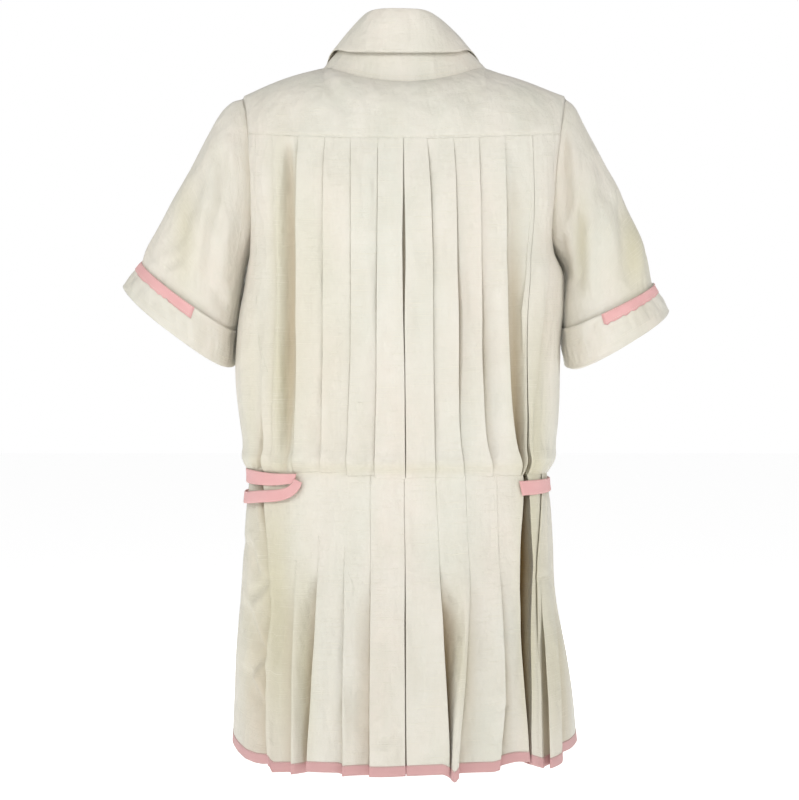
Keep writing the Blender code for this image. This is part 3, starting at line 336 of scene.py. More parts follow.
# Sleeves: the outer and the inner edge, half the depth front to back, and how much lower the
# back hangs than the front
Ring = namedtuple("Ring", ("outer_x", "outer_z", "inner_x", "inner_z", "depth", "sag"))
SLEEVE_LEFT = records(
    Ring,
    (192, -37, 181, -222, 54, 0), (207, -43, 183, -228, 56, 0), (224, -63, 186, -239, 58, 0),
    (250.5, -112, 190, -259, 60, 1), (275.5, -159, 194, -279, 60, 3), (303, -209, 198, -300, 57, 5),
    (312, -232, 200.5, -311, 55, 6),
)
CUFF_LEFT = records(
    Ring,
    (309, -232, 200.5, -310.5, 57, 6), (320, -246, 202.5, -331, 60, 8),
    (331, -259, 204.5, -353, 62, 10), (327, -260, 207.5, -353, 59, 10),
)
SLEEVE_RIGHT = records(
    Ring,
    (191, -37, 177, -222, 54, 0), (204, -48, 181, -230, 56, 0), (219, -78, 188, -247, 58, 0),
    (244.5, -128, 187, -268, 60, 1), (264, -168, 186, -284, 60, 3), (283, -211, 186.5, -299, 57, 5),
    (293, -254, 187, -309, 55, 6),
)
CUFF_RIGHT = records(
    Ring,
    (293.5, -257, 187, -308, 57, 6), (301.5, -272, 189.5, -330, 60, 8),
    (311.5, -288, 194.5, -354, 62, 10), (307, -289, 198, -355, 59, 10),
)
INNER_SQUARENESS = 0.74
ARMHOLE_PULL = (1.0, 0.6, 0.25)
CUFF_STANDOFF = 2.6 * MM
SLEEVE_SIDES = 28          # the solids' rings, which the tape on the cuff counts by

COLLAR_COLUMNS = ("angle", "fold_x", "fold_y", "fold_z", "edge_x", "edge_y", "edge_z")
COLLAR = (
    (-180, -8, -97, -68, -52, -128, -124),
    (-150, -29, -71, -8, -90, -97, -48),
    (-125, -42, -43, 28, -97, -60, -9),
    (-100, -48, -16, 45, -90, -16, 7),
    (-75, -46, 8, 51, -76, 22, 17),
    (-50, -36, 30, 56, -59, 47, 11),
    (-25, -22, 46, 60, -34, 61, 8),
    (0, 0, 50, 61, 0, 65.5, 7),
    (25, 26, 46, 61.5, 36, 61, 8),
    (50, 41, 30, 61, 62, 47, 11),
    (75, 49, 8, 57, 82, 22, 17),
    (100, 50, -16, 49, 92, -16, 7),
    (125, 43, -43, 29, 99, -60, -9),
    (150, 29, -71, -8, 92, -97, -48),
    (180, 8, -97, -68, 52, -128, -124),
)
COLLAR_END = math.radians(176)
COLLAR_BEND = 2 * MM
LEAF_STANDOFF = 1.5 * MM
STAND_BOW = 1.5 * MM
STAND_DROP = 2.2 * MM
YOKE_LIFT = 0.2 * MM
YOKE_FULLNESS = 0.8
SHOULDER_BOW = {"left": 5 * MM, "right": 1 * MM}

# Waist tapes along their middle: degrees from the centre back, height and width. The last two
# numbers of a tape say how far its lower edge is moved along it at its start and end, in mm.
WAIST_TAPES = {
    "left_upper": ((
        (137, -483, 14), (100, -483, 15), (76, -483.5, 16.5),
        (60, -484.6, 15.5), (50, -485, 14), (38, -483.4, 11),
    ), 0, -2),
    "left_lower": ((
        (137, -507, 14), (100, -509, 14), (76, -508.5, 14),
        (60, -505.6, 14), (47, -503, 13.5), (41, -499, 12.5),
        (37.8, -492.4, 11.8), (36.4, -485.5, 10.5),
    ), 0, 0),
    "right": ((
        (-47, -495, 16.8), (-60, -494.6, 16.5), (-76, -494, 15.5),
        (-100, -493.5, 14.5), (-137, -492.5, 14),
    ), 1, 0),
}
TAPE_STANDOFF = 5.1 * MM
TAPE_STANDOFF_AT_SIDE = 3.4 * MM
LOWER_TAPE_LIFT = 1.0 * MM      # where the lower tape crosses the upper one, it lies over it
PLACKET_WIDTH = 27 * MM
PLACKET_LIFT = 1.8 * MM
PLACKET_COLUMNS = 9
PLACKET_YOKE_ROWS = 18
PLACKET_SWELL = ((0, 0), (0.88, 0), (0.955, 3), (1, 1))     # like the bodice's above the waist
FRONT_PANEL_RISE = 2 * MM   # from the centre front to the first fold
FIRST_FRONT_FOLD = 44 * MM
BUTTON_HEIGHTS = (-145, -222, -300, -378, -452)

# Soft creases, each from one point to another on the back or the front: x and z of both ends,
# how wide it is and how deep its trough, in mm. A ridge lies along one side of each trough.
Crease = namedtuple("Crease", ("x1", "z1", "x2", "z2", "width", "depth"))
YOKE_CREASES = records(
    Crease,
    (100, -12, 62, -66, 7, 2.2), (-36, -50, -38, -92, 6, 1.4), (-93, -24, -78, -62, 8, 1.8),
    (30, -55, 20, -95, 12, 1.2), (110, -50, 108, -88, 8, 1.2), (93, -60, 92, -92, 6, 1.2),
    (-60, -30, -20, -60, 14, 0.9), (150, -50, 120, -85, 14, 1.0), (-150, -50, -118, -90, 14, 1.0),
)
BODICE_CREASES = records(
    Crease,
    (48, -100, 46, -200, 5, 1.0), (136, -105, 128, -160, 7, 1.6), (106, -110, 108, -170, 6, 1.2),
    (172, -300, 176, -430, 9, 2.4), (-172, -330, -158, -455, 7, 2.2), (75, -380, 80, -470, 10, 1.2),
    (-15, -250, -18, -420, 9, 0.9), (-74, -180, -72, -330, 9, 1.0), (18, -150, 15, -300, 8, 0.8),
    (-100, -150, -102, -260, 8, 0.8), (-46, -300, -48, -455, 9, 0.9), (12, -456, 30, -460, 4, 1.0),
    (-8, -462, -30, -458, 4, 1.0), (44, -458, 60, -462, 4, 1.1), (-42, -460, -60, -456, 4, 0.9),
    (72, -456, 92, -462, 4, 1.2), (-76, -458, -94, -462, 4, 1.0), (104, -458, 122, -462, 4, 1.2),
    (136, -462, 152, -458, 4, 1.4), (-110, -462, -128, -458, 4, 1.0),
    (146, -230, 144, -330, 9, 1.8), (112, -230, 114, -420, 8, 1.6), (82, -200, 84, -330, 7, 1.0),
    (52, -240, 50, -330, 8, 1.4), (-22, -150, -20, -240, 8, 1.0), (-100, -300, -104, -440, 8, 1.2),
    (134, -400, 138, -466, 9, 1.8),
)
SKIRT_CREASES = records(
    Crease,
    (158, -678, 184, -712, 6, 4.6), (184, -556, 172, -600, 6, 4.4), (160, -598, 180, -624, 6, 4.0),
    (188, -628, 166, -684, 6, 4.2), (190, -700, 168, -742, 7, 4.0), (180, -500, 176, -548, 5, 3.0),
    (-60, -500, -100, -502, 2.5, 0.7), (-100, -502, -130, -500, 2.5, 0.7),
    (-150, -598, -168, -600, 5, 1.2), (98, -596, 67, -597, 2.2, 1.0),
    (62, -597, 40, -597, 2.2, 0.8), (28, -774, 2, -758, 6, 2.8), (34, -762, 14, -748, 5, 1.6),
    (-92, -728, -108, -742, 6, 2.2), (-98, -660, -104, -735, 6, 1.8),
    (-48, -612, -58, -628, 4, 1.8), (56, -700, 52, -768, 12, 1.8), (84, -650, 86, -770, 10, 1.6),
    (18, -650, 16, -760, 10, 1.4), (-22, -640, -24, -770, 10, 1.4), (-88, -600, -84, -700, 9, 1.2),
    (-124, -600, -128, -760, 8, 1.8), (112, -600, 116, -770, 9, 2.0),
    (140, -590, 144, -760, 9, 2.0), (100, -500, 98, -560, 12, 1.0), (-16, -500, -20, -570, 12, 0.8),
    (-90, -500, -94, -560, 12, 0.8), (-60, -788, -70, -772, 4, 1.2),
    (-118, -790, -108, -768, 5, 1.4), (80, -795, 78, -770, 6, 1.0),
)
LEFT_SLEEVE_CREASES = records(
    Crease,
    (211, -96, 214, -205, 7, 4.0), (220, -166, 229, -270, 9, 4.2), (239, -135, 274, -238, 13, 4.6),
    (281, -241, 251, -226, 5, 2.8), (218, -258, 212, -290, 7, 2.6), (200, -110, 202, -200, 7, 2.2),
    (300, -212, 292, -232, 4, 2.0), (246, -80, 252, -130, 12, 1.8),
)
RIGHT_SLEEVE_CREASES = records(
    Crease,
    (-200, -170, -204, -275, 8, 4.4), (-184, -80, -188, -190, 7, 3.4),
    (-230, -110, -238, -168, 9, 3.4), (-256, -150, -262, -262, 10, 6.4),
    (-222, -180, -226, -270, 10, 2.0), (-182, -200, -190, -256, 5, 3.2),
    (-280, -215, -284, -250, 6, 2.2),
)
CUFF_CREASES_LEFT = records(
    Crease,
    (306, -258, 300, -286, 4, 2.2), (286, -276, 276, -300, 4, 2.4),
    (266, -290, 262, -316, 3.4, 2.6), (252, -300, 250, -330, 3.4, 2.4),
    (226, -310, 222, -348, 7, 1.8),
)
CUFF_CREASES_RIGHT = records(
    Crease,
    (-216, -300, -222, -340, 6, 2.0), (-236, -300, -242, -330, 3.6, 2.4),
    (-256, -286, -262, -314, 3.4, 2.2), (-276, -276, -286, -300, 4, 2.2),
    (-200, -320, -206, -348, 6, 1.4),
)

# Where the silk is tinted darker and yellower, partly its own yellowing and partly painted shade
# in folds, on the sleeves' shaded sides and under the blousing: the middle, the reach sideways and upright,
# and how much
YellowingAndShade = namedtuple("YellowingAndShade", ("x", "z", "wide", "high", "amount"))
YELLOWING_AND_SHADE = records(
    YellowingAndShade,
    (141, -200, 12, 100, 0.6), (141, -380, 14, 90, 0.8), (110, -300, 40, 160, 0.35),
    (176, -400, 14, 110, 0.4), (160, -560, 22, 90, 0.5), (143, -660, 20, 120, 0.9),
    (112, -690, 10, 90, 0.8), (180, -690, 20, 90, 0.4), (-62, -680, 12, 60, 0.7),
    (-152, -420, 14, 120, 0.7), (-128, -330, 10, 110, 0.5), (-145, -600, 16, 130, 0.8),
    (-175, -690, 18, 90, 0.7), (255, -200, 16, 60, 0.7), (-205, -215, 8, 50, 0.7),
    (-268, -220, 18, 60, 0.95), (0, -471, 230, 6.5, 0.4), (-139, -700, 7, 60, 0.8),
)


def yellowing_and_shade(points):
    """How much each point is tinted by yellowing and painted shade, from 0 to 1."""
    x, z = points[..., 0] / MM, points[..., 2] / MM
    total = np.zeros(x.shape)
    for spot in YELLOWING_AND_SHADE:
        total += spot.amount * np.exp(-((x - spot.x) / spot.wide) ** 2 - ((z - spot.z) / spot.high) ** 2)
    return np.clip(total, 0, 1)


def sizes():
    """The sizes that a user may change."""
    return bpy.context.scene.dress_sizes


def colours():
    """The colours that a user may change."""
    return bpy.context.scene.dress_colours


def curve(levels, values, at):
    """A smooth curve through the values, level beyond the ends."""
    order = np.argsort(levels)
    xs = np.asarray(levels, float)[order]
    ys = np.asarray(values, float)[order]
    slope = np.gradient(ys, xs)
    at = np.clip(at, xs[0], xs[-1])
    i = np.clip(np.searchsorted(xs, at, side="right") - 1, 0, len(xs) - 2)
    width = xs[i + 1] - xs[i]
    t = (at - xs[i]) / width
    return (
        (2 * t**3 - 3 * t**2 + 1) * ys[i]
        + (t**3 - 2 * t**2 + t) * width * slope[i]
        + (3 * t**2 - 2 * t**3) * ys[i + 1]
        + (t**3 - t**2) * width * slope[i + 1]
    )


def body_size(column, z):
    """A half size of the body at a height: "left", "right", "back" or "front"."""
    place = BODY_COLUMNS.index(column)
    levels = [row[0] for row in BODY_SIZES]
    return curve(levels, [row[place] for row in BODY_SIZES], np.asarray(z) / MM) * MM


def half_width(positive, z):
    """The half width at a height, on the wearer's left where positive, else on the right."""
    return np.where(positive, body_size("left", z), body_size("right", z))


def armhole(side, z):
    """Depth of the armhole seam at a height, on the back (side 1) or the front (side -1)."""
    share = np.clip(1 - ((z - ARMHOLE_MIDDLE) / ARMHOLE_REACH) ** 2, 0, 1)
    depth = ARMHOLE_DEPTH_BACK if side > 0 else ARMHOLE_DEPTH_FRONT
    return depth * np.sqrt(share)


def section_point(side, angle, z):
    """Points of the body's section: angle 0 is the centre, +90 degrees the wearer's left.

    Away from the side the armhole's end is evened out, so that it leaves no step."""
    angle = np.asarray(angle, float)
    half = half_width(angle > 0, z)
    depth = body_size("back" if side > 0 else "front", z)
    power = 2 / ROUNDNESS
    share = np.clip(np.cos(angle), 0, 1) ** power
    even = sum(armhole(side, z + step * MM) for step in EVENING_STEPS) / len(EVENING_STEPS)
    inward = np.clip(share / EVENED_FROM, 0, 1)
    inward = inward**2 * (3 - 2 * inward)
    seam = np.maximum(armhole(side, z) * (1 - inward) + even * inward, SEAM_GAP / 2)
    x = np.sign(angle) * half * np.abs(np.sin(angle)) ** power
    y = side * (seam + (depth - seam) * share)
    return np.stack([x, y, np.broadcast_to(z, x.shape)], axis=-1)


def section_angle(x, z):
    """The angle at which the body's section comes to x at a height."""
    half = half_width(np.asarray(x) > 0, z)
    share = np.minimum(np.abs(x) / half, WIDEST_SHARE)
    return np.sign(x) * np.arcsin(share ** (ROUNDNESS / 2))


def section_normal(side, angle, z):
    """Unit normals of the body's section, level and pointing out."""
    step = 0.01
    low = np.maximum(angle - step, -math.pi / 2)
    high = np.minimum(angle + step, math.pi / 2)
    along = section_point(side, high, z) - section_point(side, low, z)
    normal = np.stack([-along[..., 1], along[..., 0], 0 * along[..., 0]], axis=-1) * side
    return normal / np.linalg.norm(normal, axis=-1, keepdims=True)


SEED_STRIDE = 7.31          # how far apart the pieces' noise lies


def unevenness(points, scale, seed, stretch=(1, 1, 1)):
    """Smooth noise at each point, from about -1 to 1."""
    flat = points.reshape(-1, 3) / (np.array(stretch) * scale) + seed * SEED_STRIDE
    return np.array([noise.noise(Vector(p)) for p in flat]).reshape(points.shape[:-1])


# The ridge beside a crease's trough: its height, place and width against the trough's. Then
# how the crease fades towards its ends, and how far it reaches from its middle
CREASE_RIDGE = 0.55
CREASE_RIDGE_ASIDE = 1.7
CREASE_RIDGE_WIDTH = 1.2
CREASE_END = 1.15
CREASE_REACH = 0.62


def crease_field(x, z, creases):
    """How far the creases move the cloth at each point, in metres."""
    moved = np.zeros(np.shape(x))
    depth_factor = sizes().crease_depth
    for crease in creases:
        ends = np.array([[crease.x1, crease.z1], [crease.x2, crease.z2]]) * MM
        along = ends[1] - ends[0]
        length = np.linalg.norm(along)
        along /= length
        dx, dz = x - ends[0][0], z - ends[0][1]
        t = (dx * along[0] + dz * along[1]) / length
        aside = (dx * along[1] - dz * along[0]) / (crease.width * MM)
        ends_fade = np.clip(CREASE_END - np.abs(2 * t - 1) ** 3, 0, 1)
        ends_fade = ends_fade * (np.abs(t - 0.5) < CREASE_REACH)
        beyond = np.maximum(0, np.abs(t - 0.5) - 0.5) * length / (crease.width * MM)
        fade = ends_fade * np.exp(-beyond**2)
        beside = (aside - CREASE_RIDGE_ASIDE) / CREASE_RIDGE_WIDTH
        trough = -np.exp(-aside**2) + CREASE_RIDGE * np.exp(-beside**2)
        moved += crease.depth * MM * depth_factor * trough * fade
    return moved


def grid_normals(points, closed=False):
    """Unit normals of a grid of points, to the right of its rows seen from outside."""
    down = np.gradient(points, axis=0)
    if closed:
        across = np.roll(points, -1, axis=1) - np.roll(points, 1, axis=1)
    else:
        across = np.gradient(points, axis=1)
    normal = np.cross(down, across)
    return normal / np.maximum(np.linalg.norm(normal, axis=-1, keepdims=True), 1e-12)


EDGE_BENDS = (80, 45, 0, -45, -80)
EDGE_LEAD = 2.4             # where a panel starts to bend over, in radii of its edge
FULL_FOLD = 2.5 * MM        # a fold with less room between its top and floor tucks in less
LEAST_TUCK = 0.05           # share of the tuck that is always left
FACING_TUCK = 6 * MM
# From a fold's floor up to the next panel's lip: shares of the tuck or the slot, and of the rise
UNDER_EDGE = ((-0.5, 0.0), (-0.15, 0.2))
ACROSS_SLOT = ((0.0, 0.5), (0.6, 0.8), (1.1, 0.95))
LIP_EASE = 1.2 * MM
CLOSED_ROOM = 0.12 * MM     # a fold with less room than this is closed
OPENING_ROOM = 0.3 * MM     # and with this much more it is as open as its table says
CLOSED_SPREAD = 3           # mm of flat cloth over which a closed fold's columns lie


def tucked_in(tuck, room):
    """How much cloth a fold tucks in: less where its floor comes up to its top."""
    return tuck * np.clip(room / FULL_FOLD, LEAST_TUCK, 1)


def folded_edge(x, lift, tuck, floor, outwards):
    """Columns from a panel's top round its folded edge, back under it and down to the floor.

    A fold whose floor comes up to its lift closes until nothing of it shows."""
    room = lift - floor
    radius = np.minimum(sizes().fold_radius, room / 4)
    tuck = tucked_in(tuck, room)
    columns = [(x - outwards * EDGE_LEAD * radius, lift)]
    for angle in EDGE_BENDS:
        bend = math.radians(angle)
        columns.append((
            x - outwards * radius * (1 - math.cos(bend)),
            lift - radius * (1 - math.sin(bend)),
        ))
    low = floor + 2 * radius
    for share in (0.25, 0.5, 0.75):
        columns.append((
            x - outwards * (radius + (tuck - radius) * share),
            lift - 2 * radius + (low - lift + 2 * radius) * share,
        ))
    columns.append((x - outwards * tuck, low))
    columns.append((x - outwards * (tuck + radius), floor + radius))
    columns.append((x - outwards * tuck, floor))
    return columns


def fold_columns(fold, levels, z, tuck, x):
    """Columns of (x, height) across one fold, from the wearer's left to the right."""
    at = z / MM
    lift, slot, lip, floor = (
        curve(levels, values, at) * MM for values in (fold.lift, fold.slot, fold.lip, fold.floor)
    )
    if fold.to == "ridge":
        return [(x, lift)]
    if fold.to == "facing":
        inner = np.minimum(tuck, FACING_TUCK)
        first = folded_edge(x + slot / 2, lift, inner, floor, -1)
        second = folded_edge(x - slot / 2, lift, inner, floor, 1)
        columns = first + second[::-1]
    else:
        outwards = 1 if fold.to == "left" else -1
        columns = folded_edge(x, lift, tuck, floor, outwards)
        for width, steps in ((tucked_in(tuck, lift - floor), UNDER_EDGE), (slot, ACROSS_SLOT)):
            for share, rise in steps:
                columns.append((x + outwards * width * share, floor + rise * (lip - floor)))
        columns.append((x + outwards * (slot + LIP_EASE), lip))
        columns = columns[::-1] if outwards > 0 else columns
    closed = 1 - np.clip((lift - floor - CLOSED_ROOM) / OPENING_ROOM, 0, 1)
    last = len(columns) - 1
    return [
        (place + (x + (0.5 - i / last) * CLOSED_SPREAD * MM - place) * closed, height * (1 - closed))
        for i, (place, height) in enumerate(columns)
    ]


FOLD_MARGIN = 2.5 * MM      # between the cloth tucked under a panel and the next fold
HOLLOW_MARGIN = 7 * MM      # or the hollow that the panel sinks into
LEAST_ROOM = 1.5 * MM
PANEL_SWELL = 1.3           # how far a panel's middle rises or sinks, times the unevenness
SAG_LIMIT = 0.25            # how far it may sink, as a share of the room in the folds beside it
EDGE_WANDER = 0.5           # mm that a folded edge strays from its measured place
WANDER_LENGTH = 0.055


def tuck_room(number, folds, places, tuck):
    """How deep a fold may tuck its cloth under its panel before it meets what lies there."""
    step = 1 if folds[number].to == "left" else -1
    beside = number + step
    while 0 <= beside < len(folds) and folds[beside].to == "ridge" and min(folds[beside].lift) >= 0:
        beside += step
    if not 0 <= beside < len(folds):
        return tuck
    free = HOLLOW_MARGIN if folds[beside].to == "ridge" else FOLD_MARGIN
    return np.clip(abs(places[number] - places[beside]) - free, LEAST_ROOM, tuck)


def panel_sag(number, folds, levels, z, seed):
    """How far the middle of a panel rises, or sinks without meeting the folds beside it."""
    sag = PANEL_SWELL * sizes().unevenness * math.sin(seed * 2.1 + 2.3 * number)
    for fold in folds[max(0, number - 1):number + 1]:
        if fold.to != "ridge":
            deep = curve(levels, fold.lift, z / MM) - curve(levels, fold.floor, z / MM)
            sag = np.maximum(sag, -SAG_LIMIT * MM * deep)
    return sag


def pleated_columns(z, folds, levels, tuck, start, end, seed):
    """Angles and heights of a pleated section, as arrays with a row for each height."""
    places = [curve(levels, fold.x, z / MM) * MM for fold in folds]
    groups = []
    for i, fold in enumerate(folds):
        spots = [Vector((seed * 3.7 + i * 5.1, 0, height / WANDER_LENGTH)) for height in z]
        wander = np.array([noise.noise(spot) for spot in spots])
        room = tuck_room(i, folds, places, tuck)
        groups.append(fold_columns(fold, levels, z, room, places[i] + wander * EDGE_WANDER * MM))
    angles = [start]
    heights = [0 * z]
    middle = len(z) // 2
    for i, group in enumerate(groups + [None]):
        target = (section_angle(group[0][0], z), group[0][1]) if group else (end, 0 * z)
        width = abs(section_point(1, angles[-1], z)[middle] - section_point(1, target[0], z)[middle])
        steps = max(3, int(np.linalg.norm(width) / sizes().column_pitch))
        sag = panel_sag(i, folds, levels, z, seed)
        first = (angles[-1], heights[-1])
        for k in range(1, steps + (group is None)):
            share = k / steps
            angles.append(first[0] + (target[0] - first[0]) * share)
            bulge = sag * math.sin(math.pi * share)
            heights.append(first[1] + (target[1] - first[1]) * share + bulge)
        for x, height in group or ():
            angles.append(section_angle(x, z))
            heights.append(height)
    return np.stack(angles, axis=1), np.stack(heights, axis=1)


def add_object(name, data):
    """A new object in the scene."""
    thing = bpy.data.objects.new(name, data)
    bpy.context.scene.collection.objects.link(thing)
    return thing


def closed_up(grid, closed):
    """A grid that runs all the way round gets its first column again at its end."""
    return np.concatenate([grid, grid[:, :1]], axis=1) if closed else grid


def cell_corners(grid):
    """The four corners of each cell of a grid, in order round the cell."""
    return np.stack([grid[:-1, :-1], grid[1:, :-1], grid[1:, 1:], grid[:-1, 1:]], axis=2)


def cloth_places(points):
    """Where each point of a grid lies on the flat cloth: metres across and down."""
    deep, wide = points.shape[:2]
    across = np.linalg.norm(np.diff(points, axis=1), axis=-1)
    u = np.concatenate([np.zeros((deep, 1)), np.cumsum(across, axis=1)], axis=1)
    down = np.linalg.norm(np.diff(points, axis=0), axis=-1)
    v = np.concatenate([np.zeros((1, wide)), np.cumsum(down, axis=0)], axis=0)
    v = np.broadcast_to(np.median(v, axis=1, keepdims=True), v.shape)
    return np.stack([u, v], axis=-1)


def cloth_mesh(name, points, material, thickness, closed=False, flip=False, tucked=None):
    """A sheet through a grid of points with a cloth UV map in metres, then its thickness.

    tucked says how much painted shade each point gets in a fold, from 0 to 1."""
    deep, wide = points.shape[:2]
    quads = cell_corners(closed_up(np.arange(deep * wide).reshape(deep, wide), closed)).reshape(-1, 4)
    uv = cell_corners(cloth_places(closed_up(points, closed))).reshape(-1, 4, 2)
    if flip:
        quads = quads[:, ::-1]
        uv = uv[:, ::-1]
    mesh = bpy.data.meshes.new(name)
    mesh.from_pydata(points.reshape(-1, 3).tolist(), [], quads.tolist())
    layer = mesh.uv_layers.new(name="cloth")
    layer.data.foreach_set("uv", uv.reshape(-1).astype(np.float32))
    tucked = np.zeros(deep * wide) if tucked is None else tucked.reshape(-1)
    # Colour masks on the points: painted fold shade, and yellowing with painted shade
    for label, values in (("tucked", tucked), ("yellowing_and_shade", yellowing_and_shade(points).reshape(-1))):
        attribute = mesh.attributes.new(label, "FLOAT", "POINT")
        attribute.data.foreach_set("value", values.astype(np.float32))
    mesh.materials.append(material)
    thing = add_object(name, mesh)
    mesh.shade_smooth()
    wall = thing.modifiers.new("thickness", "SOLIDIFY")
    wall.thickness = thickness
    wall.offset = -1
    apply_modifiers(thing)
    return thing


def apply_modifiers(thing):
    """Apply all of an object's modifiers, in order."""
    bpy.ops.object.select_all(action="DESELECT")
    bpy.context.view_layer.objects.active = thing
    thing.select_set(True)
    for modifier in list(thing.modifiers):
        bpy.ops.object.modifier_apply(modifier=modifier.name)
    thing.select_set(False)


def finish_piece(piece, slot, *nodes):
    """Give a piece its body, and hide the nodes that it stands for; slot is not used."""
    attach(piece, BODY)
    if nodes:
        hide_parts(*nodes)
    return piece


def cloth_piece(node, points, material, thickness, slot, closed=False,
                flip=False, tucked=None):
    """The finished cloth of one node."""
    piece = cloth_mesh(node + "_cloth", points, material, thickness, closed, flip, tucked)
    finish_piece(piece, slot, node)
    return piece


# Sewing: rows of short stitches, each a slim six-cornered bead along the row
STITCH_LENGTH = 1.9 * MM
STITCH_STEP = 2.9 * MM
STITCH_RADIUS = 0.17 * MM


def grid_row(points, at):
    """The line across a grid at a row number that may lie between two rows."""
    low = int(min(at, len(points) - 2))
    return points[low] + (points[low + 1] - points[low]) * (at - low)


def stitch_line(line, outwards, closed=False):
    """Both ends of each stitch along a line, and the way out of the cloth there."""
    line = np.asarray(line, float)
    outwards = np.asarray(outwards, float)
    if closed:
        line = np.concatenate([line, line[:1]])
        outwards = np.concatenate([outwards, outwards[:1]])
    run = np.concatenate([[0], np.cumsum(np.linalg.norm(np.diff(line, axis=0), axis=1))])
    stitches = []
    for start in np.arange(STITCH_STEP / 2, run[-1] - STITCH_LENGTH, STITCH_STEP):
        spots = []
        for at in (start, start + STITCH_LENGTH):
            spots.append(np.array([np.interp(at, run, line[:, k]) for k in range(3)]))
        way = np.array([np.interp(start, run, outwards[:, k]) for k in range(3)])
        stitches.append((spots[0], spots[1], way / np.linalg.norm(way)))
    return stitches


def sew(name, stitches, radius=STITCH_RADIUS):
    """One mesh of all the stitches."""
    verts = []
    faces = []
    for first, last, way in stitches:
        along = (last - first) / max(np.linalg.norm(last - first), 1e-9)
        side = np.cross(along, way)
        start = len(verts)
        verts.append(first - way * radius)
        for share in (0.25, 0.75):
            middle = first + (last - first) * share + way * radius * 0.5
            for across, up in ((1, 0), (0, 1), (-1, 0), (0, -1)):
                verts.append(middle + (side * across + way * up) * radius)
        verts.append(last - way * radius)
        for k in range(4):
            following = (k + 1) % 4
            faces.append((start, start + 1 + following, start + 1 + k))
            faces.append((start + 1 + k, start + 1 + following, start + 5 + following, start + 5 + k))
            faces.append((start + 9, start + 5 + k, start + 5 + following))
    mesh = bpy.data.meshes.new(name)
    mesh.from_pydata([tuple(v) for v in verts], [], faces)
    mesh.materials.append(thread())
    piece = add_object(name, mesh)
    mesh.shade_smooth()
    return finish_piece(piece, SILK_SLOT)


DENSE_ENDS = 4


def rows_between(top, foot):
    """Shares of the way down, closer together near both ends."""
    count = max(8, int(round((top - foot) / sizes().row_pitch)))
    even = np.linspace(0, 1, count + 1)
    extra = [even[1] * i / DENSE_ENDS for i in range(1, DENSE_ENDS)]
    return np.array(sorted(set(even) | set(extra) | {1 - e for e in extra}))


# Painted shade in the folds: the deeper a point lies in a fold, the darker and browner its silk
SHADE_FROM = 1.5 * MM       # how deep a fold's tone starts, and over what depth it grows
SHADE_DEPTH = 22 * MM
SHADE_POWER = 0.85


def painted_fold_shade(heights):
    """How much painted shade each point gets from its depth in a fold, from 0 to 1."""
    return np.clip((-SHADE_FROM - heights) / SHADE_DEPTH, 0, 1) ** SHADE_POWER


def moved_points(side, angles, level, creases, seed, stretch, scale):
    """Points and normals of the body's section, and what creases and waves move them by."""
    points = section_point(side, angles, level)
    normals = section_normal(side, angles, level)
    ruffled = crease_field(points[..., 0], level, creases)
    wave = unevenness(points, scale, seed, stretch) * sizes().unevenness
    return points, normals, ruffled, wave


def lowered(level, x, drops, fade):
    """Heights moved down by a table of places across and drops, in mm, times a factor."""
    return level - np.interp(x / MM, *zip(*drops[::-1])) * MM * fade


# The bodice, in shares of its height: its ends under the yoke and behind the skirt, how far
# from the yoke and from the waist its folds are held flat, and how flat they are there
BODICE_START = -0.006
BODICE_BEYOND = (1.002, 1.004)
YOKE_HOLD, SEWN_FLAT = 0.05, 0.25
WAIST_HOLD, PRESSED_FLAT = 0.02, 0.3
ENDS_FROM = 0.9             # where the panels' uneven ends start to show
UNPRESSED_DEPTH = 10 * MM   # a groove deeper than this isn't pressed flat at the waist
UNPRESSED_FADE = 4 * MM
UNDER_YOKE = 0.15 * MM
UNDER_YOKE_END = 1.4 * MM
NEAR_CENTRE = 0.1


def panel_end(angle, z):
    """The angle of a panel's end at each height; an end near the centre keeps its seam gap."""
    if abs(angle) > NEAR_CENTRE:
        return np.full(len(z), angle)
    return np.sign(angle) * np.abs(section_angle(np.full(len(z), SEAM_GAP / 2), z))


def bodice_grid(side, folds, start, end, seed):
    """Points of a bodice panel and how much painted shade their depth in its folds gives.

    It runs a little up under the yoke and down behind the skirt."""
    top = BACK_YOKE_Z if side > 0 else FRONT_YOKE_Z
    shares = np.concatenate([[BODICE_START], rows_between(top, WAIST_Z), BODICE_BEYOND])
    z = top + (WAIST_Z - top) * shares
    angles, heights = pleated_columns(
        z, folds, BODICE_LEVELS, np.full(len(z), sizes().tuck), panel_end(start, z),
        panel_end(end, z), seed
    )
    share = shares[:, None]
    here = z[:, None] + YOKE_RISE * np.sin(angles) ** 2 * (1 - np.clip(share, 0, 1))
    x = section_point(side, angles, here)[..., 0]
    here = lowered(here, x, BODICE_ENDS, np.clip((share - ENDS_FROM) / (1 - ENDS_FROM), 0, 1))
    flat = np.clip(share / YOKE_HOLD, 0, 1)
    shallow = np.clip((heights + UNPRESSED_DEPTH) / UNPRESSED_FADE, 0, 1)
    pressed = 1 - (1 - np.clip((1 - share) / WAIST_HOLD, 0, 1)) * shallow
    heights = heights * (SEWN_FLAT + (1 - SEWN_FLAT) * flat)
    heights = heights * (PRESSED_FLAT + (1 - PRESSED_FLAT) * pressed)
    heights = heights - UNDER_YOKE * (1 - flat) - UNDER_YOKE_END * (share < 0)
    swell = np.interp(share, *zip(*BLOUSING)) * MM
    points, normals, ruffled, wave = moved_points(
        side, angles, here, BODICE_CREASES, seed, (1, 1, 2.4), 0.05
    )
    points = points + normals * (heights + swell + ruffled * flat + wave * flat)[..., None]
    return points, painted_fold_shade(heights)


# The skirt: how much cloth its folds tuck in at each height, and how its top edge dips in
SKIRT_TUCKS = ((-805, 9 * MM), (-640, 10 * MM))
HIP_Z = -600
SKIRT_START = (-0.02, -0.01)
WAIST_RISE = 0.03
BEHIND_BODICE = 1.2 * MM


